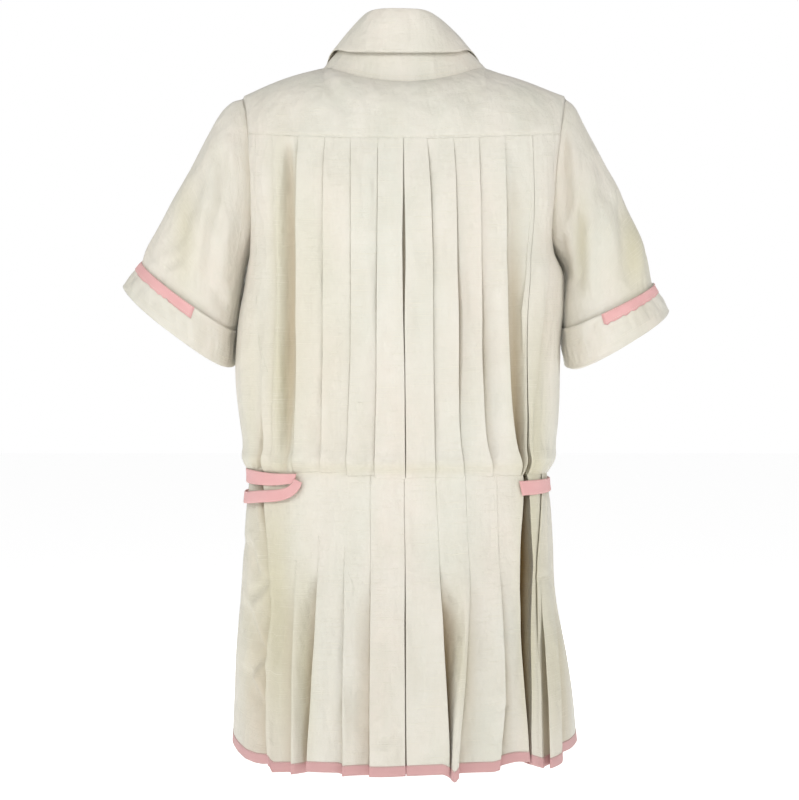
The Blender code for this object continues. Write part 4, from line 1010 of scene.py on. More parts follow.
def skirt_grid(side, folds, seed, shares):
    """Points of half a skirt from above the waist seam to the hem, and their painted fold shade."""
    z = WAIST_Z + (HEM_Z - WAIST_Z) * shares
    tuck = np.interp(z / MM, *zip(*SKIRT_TUCKS, (HIP_Z, sizes().tuck)))
    left, right = (panel_end(turn * math.pi / 2, z) for turn in (1, -1))
    angles, heights = pleated_columns(z, folds, SKIRT_LEVELS, tuck, left, right, seed)
    share = shares[:, None]
    level = np.broadcast_to(z[:, None], angles.shape)
    x = section_point(side, angles, level)[..., 0]
    here = lowered(level, x, HEM_BACK if side > 0 else HEM_FRONT, np.clip(share, 0, 1))
    rise = np.clip((share - SKIRT_START[1]) / WAIST_RISE, 0, 1)
    heights = heights * rise - BEHIND_BODICE * (1 - rise)
    points, normals, ruffled, wave = moved_points(
        side, angles, here, SKIRT_CREASES, seed, (1, 1, 2), 0.045
    )
    wave = wave * (0.6 + 0.9 * share)
    points = points + normals * (heights + (ruffled + wave) * rise)[..., None]
    return points, painted_fold_shade(heights)


def neck_point(angle):
    """The neck seam: angle 0 at the centre back, 180 degrees at the centre front."""
    x = NECK_HALF_WIDTH * math.sin(angle)
    c = math.cos(angle)
    if c >= 0:
        return Vector((x, NECK_BACK_DEPTH * c, -NECK_BACK_DROP * c * c))
    return Vector((x, NECK_FRONT_DEPTH * c, -NECK_FRONT_DROP * abs(c) ** NECK_FRONT_CURVE))


def yoke_top(side, x, half):
    """A point of the yoke's top edge: the neck seam, or the shoulder line beyond it."""
    if abs(x) < NECK_HALF_WIDTH - 0.001 * MM:
        angle = math.asin(x / NECK_HALF_WIDTH)
        return neck_point(angle if side > 0 else math.pi - angle)
    body_side = "left" if x > 0 else "right"
    tip = float(body_size(body_side, SHOULDER_TIP_Z))
    share = (abs(x) - NECK_HALF_WIDTH) / (half - NECK_HALF_WIDTH)
    reach = NECK_HALF_WIDTH + (tip - NECK_HALF_WIDTH) * share
    bow = SHOULDER_BOW[body_side] * math.sin(math.pi * min(share, 1.0))
    return Vector((math.copysign(reach, x), side * SEAM_GAP, SHOULDER_TIP_Z * share + bow))


# The middle of a yoke's curve, in shares of the way from its seam to its top edge, which is
# evened over some mm. The share of the height grows to 1 beside the neck
YOKE_EVENING = (-30, -20, -10, 0, 10, 20, 30)
YOKE_MIDDLE_X = 0.4
YOKE_MIDDLE_Z = 0.85
BESIDE_NECK = 1.6 * NECK_HALF_WIDTH
NECK_POWER = 6              # the top edge's own line shows only close to it


def yoke_point(side, angle, v):
    """A point of a yoke; v is 0 at the pleats' seam and 1 at the shoulder or the neck."""
    seam = BACK_YOKE_Z if side > 0 else FRONT_YOKE_Z
    z = seam + YOKE_RISE * math.sin(angle) ** 2 + SEAM_GAP
    if abs(abs(angle) - math.pi / 2) < 1e-6:
        here = z + (SHOULDER_TIP_Z - z) * v
        reach = float(half_width(np.array(angle > 0), np.array(here)))
        y = side * max(float(armhole(side, here)), SEAM_GAP)
        return Vector((math.copysign(reach, angle), y, here))
    base = Vector(section_point(side, np.array(angle), np.array(z)))
    normal = Vector(section_normal(side, np.array(angle), np.array(z)))
    low = base + normal * YOKE_LIFT * math.cos(angle)
    half = float(half_width(np.array(angle > 0), np.array(z)))
    high = yoke_top(side, base.x, half)
    even = Vector((0, 0, 0))
    for shift in YOKE_EVENING:
        x = max(-half, min(half, base.x + shift * MM))
        even += yoke_top(side, x, half) / len(YOKE_EVENING)
    even.x = high.x
    near_neck = min(1.0, abs(base.x) / BESIDE_NECK)
    middle = Vector((
        low.x + (high.x - low.x) * YOKE_MIDDLE_X,
        even.y + (low.y - even.y) * YOKE_FULLNESS,
        low.z + (even.z - low.z) * (YOKE_MIDDLE_Z + (1 - YOKE_MIDDLE_Z) * near_neck**2),
    ))
    rounded = low * (1 - v) ** 2 + middle * 2 * v * (1 - v) + even * v * v
    return rounded + (high - even) * v**NECK_POWER


def yoke_grid(side, angles, steps):
    """Points of a yoke from its shoulder and neck edge down to the pleats' seam."""
    shares = [1 - step / steps for step in range(steps + 1)]
    return np.array([[yoke_point(side, angle, v) for angle in angles] for v in shares])


YOKE_STEPS = 14
NECK_STEPS = 18
NECK_CROWDING = 0.8         # below 1, the steps lie closer together by the neck point


def yoke_angles(side, body_side):
    """Angles from the armhole to near the centre, one of them at the neck point."""
    seam = BACK_YOKE_Z if side > 0 else FRONT_YOKE_Z
    neck = []
    for i in range(NECK_STEPS):
        share = math.cos(math.pi / 2 * i / NECK_STEPS) ** NECK_CROWDING
        x = share * NECK_HALF_WIDTH * body_side
        angle = section_angle(x, seam)
        for _ in range(3):
            angle = section_angle(x, seam + YOKE_RISE * np.sin(angle) ** 2 + SEAM_GAP)
        neck.append(float(angle))
    outer = body_side * math.pi / 2
    return [outer + (neck[0] - outer) * i / YOKE_STEPS for i in range(YOKE_STEPS)] + neck


def collar_at(angle, kind):
    """A point of the collar's "fold" or "edge", at an angle round the neck."""
    levels = [row[0] for row in COLLAR]
    first = COLLAR_COLUMNS.index(kind + "_x")
    columns = [[row[first + i] for row in COLLAR] for i in range(3)]
    return Vector([float(curve(levels, c, math.degrees(angle))) for c in columns]) * MM


def ring_of(size, mirror, sides, grow=0.0):
    """A closed ring of a sleeve, from its outer edge round the back to its inner edge."""
    outer = Vector((size.outer_x * mirror, 0, size.outer_z)) * MM
    inner = Vector((size.inner_x * mirror, 0, size.inner_z)) * MM
    centre = (outer + inner) / 2
    half = (outer - inner) / 2
    half += half.normalized() * grow
    depth = Vector((0, size.depth * MM + grow, 0))
    down = Vector((half.z, 0, -half.x)).normalized() * mirror * size.sag * MM
    ring = []
    for i in range(sides):
        turn = 2 * math.pi * i / sides
        c, s = math.cos(turn), math.sin(turn)
        power = 1 - (1 - INNER_SQUARENESS) * max(0.0, -c) ** 0.5
        along = math.copysign(abs(c) ** power, c)
        ring.append(centre + half * along + (depth + down) * math.copysign(abs(s) ** power, s))
    return np.array(ring)


def armhole_ring(mirror, sides):
    """The armhole seam as a ring that matches the sleeve's rings, just outside the body."""
    side = "left" if mirror > 0 else "right"
    ring = []
    for i in range(sides):
        turn = 2 * math.pi * i / sides
        z = ARMHOLE_MIDDLE + ARMHOLE_REACH * math.cos(turn)
        depth = ARMHOLE_DEPTH_BACK if math.sin(turn) > 0 else ARMHOLE_DEPTH_FRONT
        x = float(body_size(side, z)) - 2 * SEAM_GAP
        ring.append((x * mirror, depth * math.sin(turn), z))
    return np.array(ring)


def between_rings(table, at):
    """A ring's sizes at a place along a sleeve, in rings from the first."""
    rings = np.arange(len(table))
    return Ring(*(float(curve(rings, [row[i] for row in table], at)) for i in range(6)))


SLEEVE_ROWS = 44
INTO_CUFF = (0.25, 0.5, 0.75, 0.86)     # rows that run on inside the cuff
SLEEVE_WAVE = 1.6
CUFF_WAVE = 1.3
CUFF_STEPS = 9
# Puckers below the tape on a cuff: turns of their wave round it, how much it wanders, how far
# the cloth swells and pinches in, in mm, and where down the cuff they lie
PUCKER_TURNS = 17
PUCKER_WANDER, WANDER_TURNS = 1.9, 5
PUCKER_SWELL, PUCKER_PINCH = 1.2, 3.2
PUCKER_PLACE, PUCKER_REACH = 0.62, 0.22


def sleeve_grid(table, cuff_table, mirror, creases, seed):
    """Points of a sleeve, from the armhole seam to its end inside the cuff."""
    sides = sizes().sleeve_sides
    seam = armhole_ring(mirror, sides)
    pull = seam - ring_of(table[0], mirror, sides)
    keeps = ARMHOLE_PULL + (0.0,) * (len(table) - len(ARMHOLE_PULL))
    rows = []
    for at in np.linspace(0, len(table) - 1, SLEEVE_ROWS):
        keep = np.interp(at, range(len(keeps)), keeps)
        rows.append(ring_of(between_rings(table, at), mirror, sides) + pull * keep)
    end = rows[-1]
    last = ring_of(cuff_table[-2], mirror, sides, -CUFF_STANDOFF - sizes().cloth)
    rows += [end * (1 - share) + last * share for share in INTO_CUFF]
    points = np.array(rows)
    normals = grid_normals(points, closed=True) * mirror
    down = np.linspace(0, 1, len(rows))[:, None]
    free = np.clip(down / 0.06, 0, 1) * np.clip((0.9 - down) / 0.08, 0, 1)
    facing = np.abs(np.sin(2 * np.pi * np.arange(sides) / sides))[None]
    field = crease_field(points[..., 0], points[..., 2], creases) * np.clip(facing * 1.6, 0, 1)
    wave = unevenness(points, 0.055, seed) * sizes().unevenness * SLEEVE_WAVE
    return points + normals * ((field + wave) * free)[..., None]


def cuff_grid(table, mirror, creases, seed):
    """Points of a turned-up cuff, from its loose top edge down to the fold round its opening."""
    sides = sizes().sleeve_sides
    rows = []
    for at in np.linspace(0, 2, 2 * CUFF_STEPS + 1):
        rows.append(ring_of(between_rings(table[:3], at), mirror, sides, CUFF_STANDOFF))
    edge = ring_of(table[3], mirror, sides, CUFF_STANDOFF)
    points = np.array(rows)
    normals = grid_normals(points, closed=True) * mirror
    down = np.linspace(0, 1, len(rows))[:, None]
    field = crease_field(points[..., 0], points[..., 2], creases)
    turns = 2 * np.pi * np.arange(sides) / sides
    wander = PUCKER_WANDER * np.sin(turns * WANDER_TURNS + seed)
    pinches = 1 - np.abs(np.sin(turns * PUCKER_TURNS + wander)) ** 0.5
    reach = np.exp(-((down - PUCKER_PLACE) / PUCKER_REACH) ** 2)
    puckers = (PUCKER_SWELL - PUCKER_PINCH * pinches[None]) * MM * reach
    wave = unevenness(points, 0.03, seed) * sizes().unevenness * CUFF_WAVE
    free = np.clip(down / 0.1, 0, 1)
    points = points + normals * ((field * 0.6 + wave) * free + puckers)[..., None]
    lip = points[-1] * 0.6 + edge * 0.4
    return np.concatenate([points, [lip], [edge]])


def round_body(turn, z, out):
    """A point round the body: 0 at the centre back, 90 degrees at the wearer's left side."""
    side = 1 if math.cos(turn) >= 0 else -1
    angle = np.array(math.asin(max(-1.0, min(1.0, math.sin(turn)))))
    z = np.array(z)
    return Vector(section_point(side, angle, z)) + Vector(section_normal(side, angle, z)) * out


TAPE_LEVEL = -0.49
TAPE_STEPS = 60
TAPE_ROWS = (-0.5, -0.46, -0.3, -0.1, 0.1, 0.3, 0.46, 0.5)      # shares of the width
TAPE_CURL = 0.5             # mm that the two edges turn in


def tape_standoff(turn):
    """How far a waist tape lies off the body: less at the sides."""
    sideways = abs(math.sin(turn)) ** 8
    return TAPE_STANDOFF - (TAPE_STANDOFF - TAPE_STANDOFF_AT_SIDE) * sideways


def body_arc(turn, step=0.01):
    """Metres round the body for a turn of one radian, at the tapes' height."""
    ahead, behind = (round_body(turn + move, TAPE_LEVEL, 0) for move in (step, -step))
    return np.linalg.norm(ahead - behind) / (2 * step)


def waist_tape_grid(table, runs_on, lift):
    """Points of a tape: rows from its upper to its lower edge, columns along its middle."""
    places = np.arange(len(table))
    at = np.linspace(0, len(table) - 1, TAPE_STEPS + 1)
    turn, z, width = (curve(places, [row[i] for row in table], at) for i in range(3))
    turn = np.radians(turn)
    arc = np.array([body_arc(t) for t in turn])
    along = np.stack([np.gradient(turn) * arc, np.gradient(z) * MM])
    along /= np.linalg.norm(along, axis=0)
    if along[0].mean() < 0:
        aside = np.stack([-along[1], along[0]])
    else:
        aside = np.stack([along[1], -along[0]])
    ends = np.interp(at, (0, 1, len(table) - 2, len(table) - 1), (runs_on[0], 0, 0, runs_on[1])) * MM
    rows = []
    for edge in TAPE_ROWS:
        row = []
        curl = -TAPE_CURL * MM * (edge in (TAPE_ROWS[0], TAPE_ROWS[-1]))
        for i in range(TAPE_STEPS + 1):
            move = aside[:, i] * edge * width[i] * MM + along[:, i] * ends[i] * edge * 2
            there = turn[i] + move[0] / arc[i]
            row.append(round_body(there, z[i] * MM + move[1], tape_standoff(there) + lift + curl))
        rows.append(row)
    return np.array(rows)


def placket_grid():
    """The strip down the centre front, lifted off the yoke and the bodice."""
    places = np.linspace(1, -1, PLACKET_COLUMNS)
    angles = [float(section_angle(share * PLACKET_WIDTH / 2, FRONT_YOKE_Z)) for share in places]
    yoke = yoke_grid(-1, angles, PLACKET_YOKE_ROWS)
    shares = rows_between(FRONT_YOKE_Z, WAIST_Z)[1:]
    z = FRONT_YOKE_Z + (WAIST_Z - FRONT_YOKE_Z) * shares
    x = np.broadcast_to(places * PLACKET_WIDTH / 2, (len(z), PLACKET_COLUMNS))
    level = np.broadcast_to(z[:, None], x.shape)
    angle = section_angle(x, level)
    lift = FRONT_PANEL_RISE * np.abs(x) / FIRST_FRONT_FOLD
    swell = np.interp(shares, *zip(*PLACKET_SWELL))[:, None] * MM
    bodice = section_point(-1, angle, level)
    bodice = bodice + section_normal(-1, angle, level) * (lift + swell)[..., None]
    points = np.concatenate([yoke, bodice])
    return points - grid_normals(points) * PLACKET_LIFT


def node_group(name, inputs, output):
    """A shader group with its named inputs and one output, and its two end nodes."""
    group = bpy.data.node_groups.new(name, "ShaderNodeTree")
    for label, kind, value in inputs:
        socket = group.interface.new_socket(label, in_out="INPUT", socket_type=kind)
        if value is not None:
            socket.default_value = value
    group.interface.new_socket(output, in_out="OUTPUT", socket_type="NodeSocketFloat")
    return group, group.nodes.new("NodeGroupInput"), group.nodes.new("NodeGroupOutput")


def calculate(tree, operation, *values):
    """A math node whose inputs are sockets or numbers."""
    node = tree.nodes.new("ShaderNodeMath")
    node.operation = operation
    for socket, value in zip(node.inputs, values):
        if isinstance(value, (int, float)):
            socket.default_value = value
        else:
            tree.links.new(value, socket)
    return node.outputs[0]


def stretched_noise(tree, vector, stretch, scale=1.0, detail=2.0):
    """Noise over a vector that is stretched first, from 0 to 1."""
    mapping = tree.nodes.new("ShaderNodeMapping")
    mapping.inputs["Scale"].default_value = stretch
    tree.links.new(vector, mapping.inputs["Vector"])
    texture = tree.nodes.new("ShaderNodeTexNoise")
    texture.inputs["Scale"].default_value = scale
    texture.inputs["Detail"].default_value = detail
    tree.links.new(mapping.outputs[0], texture.inputs["Vector"])
    return texture.outputs[0]


SILK_THREADS = 2400.0       # per metre
TAPE_THREADS = 1800.0
RIB_PITCH = 0.9 * MM
DARKER_BELOW = -0.6          # the hem's binding is duller than the tapes above


def weave_group():
    """Plain weave: threads that pass over and under each other."""
    found = bpy.data.node_groups.get("plain_weave")
    if found:
        return found
    group, start, end = node_group("plain_weave", (
        ("Vector", "NodeSocketVector", None),
        ("Threads per metre", "NodeSocketFloat", SILK_THREADS),
    ), "Height")
    split = parts_of(group, start.outputs["Vector"])
    u, v = (calculate(group, "MULTIPLY", split[i], start.outputs["Threads per metre"]) for i in (0, 1))
    over = calculate(group, "ADD", calculate(group, "FLOOR", u), calculate(group, "FLOOR", v))
    over = calculate(group, "FLOORED_MODULO", over, 2.0)
    warp, weft = (
        calculate(group, "ABSOLUTE", calculate(group, "SINE", calculate(group, "MULTIPLY", w, math.pi)))
        for w in (u, v)
    )
    under = calculate(group, "SUBTRACT", 1.0, over)
    height = calculate(
        group, "ADD", calculate(group, "MULTIPLY", warp, over), calculate(group, "MULTIPLY", weft, under)
    )
    group.links.new(height, end.inputs["Height"])
    return group


def slub_group():
    """Thicker stretches of yarn, long across the cloth and fewer down it."""
    found = bpy.data.node_groups.get("slubs")
    if found:
        return found
    group, start, end = node_group("slubs", (("Vector", "NodeSocketVector", None),), "Mask")
    masks = []
    for stretch, low, high in (((22, 900, 1), 0.56, 0.72), ((900, 18, 1), 0.6, 0.76)):
        masks.append(widened(group, stretched_noise(group, start.outputs["Vector"], stretch), low, high))
    total = calculate(group, "ADD", masks[0], calculate(group, "MULTIPLY", masks[1], 0.6))
    group.links.new(total, end.inputs["Mask"])
    return group


def use_group(tree, group, vector):
    """A node of a shader group, fed with a vector."""
    node = tree.nodes.new("ShaderNodeGroup")
    node.node_tree = group
    tree.links.new(vector, node.inputs["Vector"])
    return node


def mixed(tree, factor, first, second):
    """One colour going over to another; each is a socket or a plain colour."""
    node = tree.nodes.new("ShaderNodeMix")
    node.data_type = "RGBA"
    tree.links.new(factor, node.inputs["Factor"])
    for name, value in (("A", first), ("B", second)):
        socket = [s for s in node.inputs if s.name == name and s.type == "RGBA"][0]
        if isinstance(value, bpy.types.NodeSocket):
            tree.links.new(value, socket)
        else:
            socket.default_value = (*value, 1)
    return [s for s in node.outputs if s.type == "RGBA"][0]


def widened(tree, noise_value, low=0.35, high=0.65):
    """A part of a noise's range stretched over 0 to 1."""
    span = tree.nodes.new("ShaderNodeMapRange")
    span.inputs["From Min"].default_value = low
    span.inputs["From Max"].default_value = high
    tree.links.new(noise_value, span.inputs["Value"])
    return span.outputs[0]


def principled(name, colour, roughness):
    """A new material with its node tree and its shader."""
    material = bpy.data.materials.new(name)
    material.use_nodes = True
    shader = material.node_tree.nodes["Principled BSDF"]
    shader.inputs["Base Color"].default_value = (*colour, 1)
    shader.inputs["Roughness"].default_value = roughness
    return material, material.node_tree, shader


def cloth_uv(tree):
    """The cloth's own UV map, in metres."""
    uv = tree.nodes.new("ShaderNodeUVMap")
    uv.uv_map = "cloth"
    return uv.outputs[0]


def point_value(tree, name):
    """A value that the cloth's points carry."""
    node = tree.nodes.new("ShaderNodeAttribute")
    node.attribute_name = name
    return node.outputs["Fac"]


def parts_of(tree, vector):
    """The X, Y and Z of a vector."""
    node = tree.nodes.new("ShaderNodeSeparateXYZ")
    tree.links.new(vector, node.inputs[0])
    return node.outputs


def bump(tree, shader, *layers):
    """Surface relief: each layer is a value and the height in metres that it is times."""
    height = 0.0
    for value, amount in layers:
        height = calculate(tree, "MULTIPLY_ADD", value, amount, height)
    node = tree.nodes.new("ShaderNodeBump")
    node.inputs["Strength"].default_value = 1.0
    node.inputs["Distance"].default_value = 1.0
    tree.links.new(height, node.inputs["Height"])
    tree.links.new(node.outputs[0], shader.inputs["Normal"])


def tinted(colour, factors):
    """A colour times a factor for each channel."""
    return tuple(channel * factor for channel, factor in zip(colour, factors))


def silk_material():
    """Ivory silk with slubs, a plain weave and small crumples, yellowed and darkened by painted shade in
    folds.
    """
    base = colours().silk
    material, tree, shader = principled("ivory_silk", base, 0.5)
    shader.inputs["Sheen Weight"].default_value = 0.2
    shader.inputs["Sheen Roughness"].default_value = 0.35
    shader.inputs["Specular IOR Level"].default_value = 0.35
    uv = cloth_uv(tree)
    place = tree.nodes.new("ShaderNodeTexCoord").outputs["Object"]
    weave = use_group(tree, weave_group(), uv)
    weave.inputs["Threads per metre"].default_value = SILK_THREADS
    slubs = use_group(tree, slub_group(), uv).outputs["Mask"]
    cloud = widened(tree, stretched_noise(tree, place, (1, 1, 0.5), 26.0, 4.0))
    blush = widened(tree, stretched_noise(tree, place, (1, 1, 0.4), 14.0, 3.0))
    crumple = stretched_noise(tree, place, (1, 1, 0.7), 55.0, 4.0)
    drawn = stretched_noise(tree, place, (1, 1, 0.25), 24.0, 3.0)
    toned = mixed(tree, cloud, tinted(base, (0.93, 0.93, 0.90)), tinted(base, (1.05, 1.05, 1.06)))
    warmed = mixed(tree, blush, tinted(base, (0.96, 0.99, 0.98)), tinted(base, (1.04, 0.99, 0.98)))
    toned = mixed(tree, stretched_noise(tree, place, (1, 1, 1), 60.0, 2.0), toned, warmed)
    # Yellowing and painted shade: darker and yellower where the table of spots puts it
    toned = mixed(tree, point_value(tree, "yellowing_and_shade"), toned, tinted(base, (0.86, 0.84, 0.70)))
    streaked = mixed(tree, calculate(tree, "MULTIPLY", slubs, 0.6), toned, tinted(base, (1.08, 1.07, 1.02)))
    # Painted shade: the silk goes dark brown deep in the folds
    folded = mixed(tree, point_value(tree, "tucked"), streaked, tinted(base, (0.40, 0.235, 0.035)))
    tree.links.new(folded, shader.inputs["Base Color"])
    bump(
        tree, shader, (weave.outputs[0], 0.04 * MM), (slubs, 0.22 * MM), (crumple, 2.6 * MM),
        (drawn, 9 * MM)
    )
    return material


def tape_material():
    """Pink grosgrain: close ribs across the tape, faded in places and duller at the hem."""
    base = colours().tape
    material, tree, shader = principled("pink_tape", base, 0.6)
    shader.inputs["Sheen Weight"].default_value = 0.15
    shader.inputs["Specular IOR Level"].default_value = 0.3
    uv = cloth_uv(tree)
    ribs = calculate(tree, "MULTIPLY", parts_of(tree, uv)[0], 2 * math.pi / RIB_PITCH)
    ribs = calculate(tree, "SINE", ribs)
    weave = use_group(tree, weave_group(), uv)
    weave.inputs["Threads per metre"].default_value = TAPE_THREADS
    place = tree.nodes.new("ShaderNodeTexCoord").outputs["Object"]
    faded = stretched_noise(tree, place, (1, 1, 1), 40.0, 3.0)
    colour = mixed(tree, faded, tinted(base, (0.93, 0.88, 0.88)), tinted(base, (1.04, 1.12, 1.12)))
    # At the hem the tape is darker and greyer
    darker_at_hem = mixed(tree, faded, tinted(base, (0.74, 0.76, 0.76)), tinted(base, (0.84, 0.92, 0.92)))
    low = calculate(tree, "LESS_THAN", parts_of(tree, place)[2], DARKER_BELOW)
    tree.links.new(mixed(tree, low, colour, darker_at_hem), shader.inputs["Base Color"])
    bump(tree, shader, (ribs, 0.05 * MM), (weave.outputs[0], 0.03 * MM), (faded, 0.6 * MM))
    return material


def thread_material():
    """Silk sewing thread."""
    return principled("sewing_thread", colours().thread, 0.45)[0]


def button_material():
    """Polished shell with faint clouds."""
    base = colours().button
    material, tree, shader = principled("shell", base, 0.22)
    shader.inputs["Coat Weight"].default_value = 0.4
    place = tree.nodes.new("ShaderNodeTexCoord").outputs["Object"]
    cloud = stretched_noise(tree, place, (1, 1, 1), 180.0, 3.0)
    colour = mixed(tree, cloud, tinted(base, (0.9, 0.88, 0.85)), tinted(base, (1.06, 1.06, 1.05)))
    tree.links.new(colour, shader.inputs["Base Color"])
    return material


def silk():
    return bpy.data.materials.get("ivory_silk") or silk_material()


def pink():
    return bpy.data.materials.get("pink_tape") or tape_material()


def thread():
    return bpy.data.materials.get("sewing_thread") or thread_material()


def shell():
    return bpy.data.materials.get("shell") or button_material()


class DressSizes(bpy.types.PropertyGroup):
    cloth: FloatProperty(
        name="Cloth", description="Thickness of one layer of silk", default=0.4 * MM, unit="LENGTH"
    )
    fold_radius: FloatProperty(
        name="Fold radius", description="Radius at a pleat's pressed edge", default=0.5 * MM, unit="LENGTH"
    )
    tuck: FloatProperty(
        name="Pleat depth", description="Cloth folded under each pleat", default=11 * MM, unit="LENGTH"
    )
    row_pitch: FloatProperty(
        name="Row pitch", description="Distance between rows of points", default=4.5 * MM, unit="LENGTH"
    )
    column_pitch: FloatProperty(
        name="Column pitch", description="Distance between points across a panel", default=3 * MM,
        unit="LENGTH"
    )
    sleeve_sides: IntProperty(
        name="Sleeve sides", description="Points round a sleeve", default=112, min=28
    )
    unevenness: FloatProperty(
        name="Unevenness", description="How far panels rise and sink", default=1.4 * MM, unit="LENGTH"
    )
    crease_depth: FloatProperty(
        name="Crease depth", description="Factor on the depth of the soft creases", default=1.3, min=0
    )


class DressColours(bpy.types.PropertyGroup):
    silk: FloatVectorProperty(
        name="Silk", description="Ivory of the dress cloth", subtype="COLOR", default=(0.735, 0.705, 0.622)
    )
    tape: FloatVectorProperty(
        name="Tape", description="Pink of the tapes", subtype="COLOR", default=(0.80, 0.435, 0.425)
    )
    thread: FloatVectorProperty(
        name="Thread", description="Ivory sewing thread", subtype="COLOR", default=(0.84, 0.79, 0.66)
    )
    button: FloatVectorProperty(
        name="Button", description="Shell white of the buttons", subtype="COLOR",
        default=(0.86, 0.83, 0.76)
    )


# How thick a piece is where it isn't a single layer of silk
DOUBLE_CLOTH = 0.8 * MM
LEAF_CLOTH = 1.0 * MM
STRIP_THICKNESS = 0.6 * MM
TAPE_THICKNESS = 0.8 * MM
BINDING_THICKNESS = 1.2 * MM
YOKE_ROWS = 26


class DRESS_OT_yokes(bpy.types.Operator):
    """Make the back yoke and the two front yokes"""
    bl_idname = "dress.yokes"
    bl_label = "Yokes"

    def execute(self, context):
        edge = float(section_angle(SEAM_GAP / 2, FRONT_YOKE_Z))
        back = yoke_angles(1, 1) + [0.0] + yoke_angles(1, -1)[::-1]
        for name, side, angles in (
            ("back_yoke", 1, back),
            ("front_yoke_left", -1, yoke_angles(-1, 1) + [edge]),
            ("front_yoke_right", -1, [-edge] + yoke_angles(-1, -1)[::-1]),
        ):
            points = yoke_grid(side, angles, YOKE_ROWS)
            normals = grid_normals(points) * side
            down = np.linspace(0, 1, len(points))[:, None]
            free = np.clip(down / 0.1, 0, 1) * np.clip((1 - down) / 0.05, 0, 1)
            field = crease_field(points[..., 0], points[..., 2], YOKE_CREASES)
            wave = unevenness(points, 0.05, 3) * sizes().unevenness
            points = points + normals * ((field + wave) * free)[..., None]
            cloth_piece(name, points, silk(), sizes().cloth, SILK_SLOT, flip=side < 0)
            line = grid_row(points, len(points) - 1.45)
            sew(name + "_stitches", stitch_line(line, normals[-2]))
        return {"FINISHED"}


class DRESS_OT_bodice(bpy.types.Operator):
    """Make the pleated back bodice and the two pleated fronts"""
    bl_idname = "dress.bodice"
    bl_label = "Bodice"

    def execute(self, context):
        quarter = math.pi / 2
        for name, side, folds, start, end, seed in (
            ("back_bodice", 1, BODICE_BACK, quarter, -quarter, 1),
            ("front_bodice_left", -1, BODICE_FRONT_LEFT, quarter, 1e-3, 2),
            ("front_bodice_right", -1, BODICE_FRONT_RIGHT, -1e-3, -quarter, 3),
        ):
            points, tucked = bodice_grid(side, folds, start, end, seed)
            cloth_piece(
                name, points, silk(), sizes().cloth, SILK_SLOT, flip=side < 0,
                tucked=tucked
            )
        return {"FINISHED"}


BINDING_LIFT = 0.5          # mm
BINDING_ROWS = 6
BINDING_SEAMS = (0.35, 4.8)     # rows of the binding


class DRESS_OT_skirt(bpy.types.Operator):
    """Make the pleated skirt and the pink binding of its hem"""
    bl_idname = "dress.skirt"
    bl_label = "Skirt"

    def execute(self, context):
        depth = WAIST_Z - HEM_Z
        last = 1 - BINDING_HEIGHT / depth
        top = np.concatenate([SKIRT_START, rows_between(WAIST_Z, HEM_Z) * last])
        band = np.linspace(last, 1, BINDING_ROWS)
        for name, side, folds, seed in (("back", 1, SKIRT_BACK, 4), ("front", -1, SKIRT_FRONT, 5)):
            points, tucked = skirt_grid(side, folds, seed, np.concatenate([top, band[1:]]))
            skirt = points[:len(top) + 1]
            cloth_piece(
                "skirt_" + name, skirt, silk(), sizes().cloth, SILK_SLOT,
                flip=side < 0, tucked=tucked[:len(top) + 1]
            )
            binding = points[len(top) - 1:]
            normals = grid_normals(binding) * side
            binding = binding + normals * BINDING_LIFT * MM
            cloth_piece(
                "hem_binding_" + name, binding, pink(), BINDING_THICKNESS, TAPE_SLOT,
                flip=side < 0
            )
            above, below = (stitch_line(grid_row(binding, at), normals[0]) for at in BINDING_SEAMS)
            sew("hem_%s_stitches" % name, above + below)
        return {"FINISHED"}


# Rows of tacks across the pleats: from x to x, and z
TACK_LINES = ((97, 62, -598), (46, 8, -600), (-148, -168, -601), (-84, -102, -600))
TACK_LIFT = 1.8             # mm
TACK_POINTS = 12


class DRESS_OT_tacks(bpy.types.Operator):
    """Sew the short rows of stitches that hold the skirt's pleats at the hip"""
    bl_idname = "dress.tacks"
    bl_label = "Tack stitches"

    def execute(self, context):
        stitches = []
        for start, end, z in TACK_LINES:
            x = np.linspace(start, end, TACK_POINTS) * MM
            level = np.full(TACK_POINTS, z * MM)
            angle = section_angle(x, level)
            outwards = section_normal(1, angle, level)
            line = section_point(1, angle, level) + outwards * TACK_LIFT * MM
            stitches += stitch_line(line, outwards)
        sew("tack_stitches", stitches)
        return {"FINISHED"}


COLLAR_STEPS = 96
STAND_SHARES = (1, 0.92, 0.83, 0.75, 0.67, 0.58, 0.5, 0.42, 0.33, 0.25, 0.17, 0.09, 0.04, 0, -0.05)
STAND_SEAM = 11.6           # the rows that the two lines of stitches follow
LEAF_SEAM = 20.3
STAND_CLEARANCE = 0.5 * MM


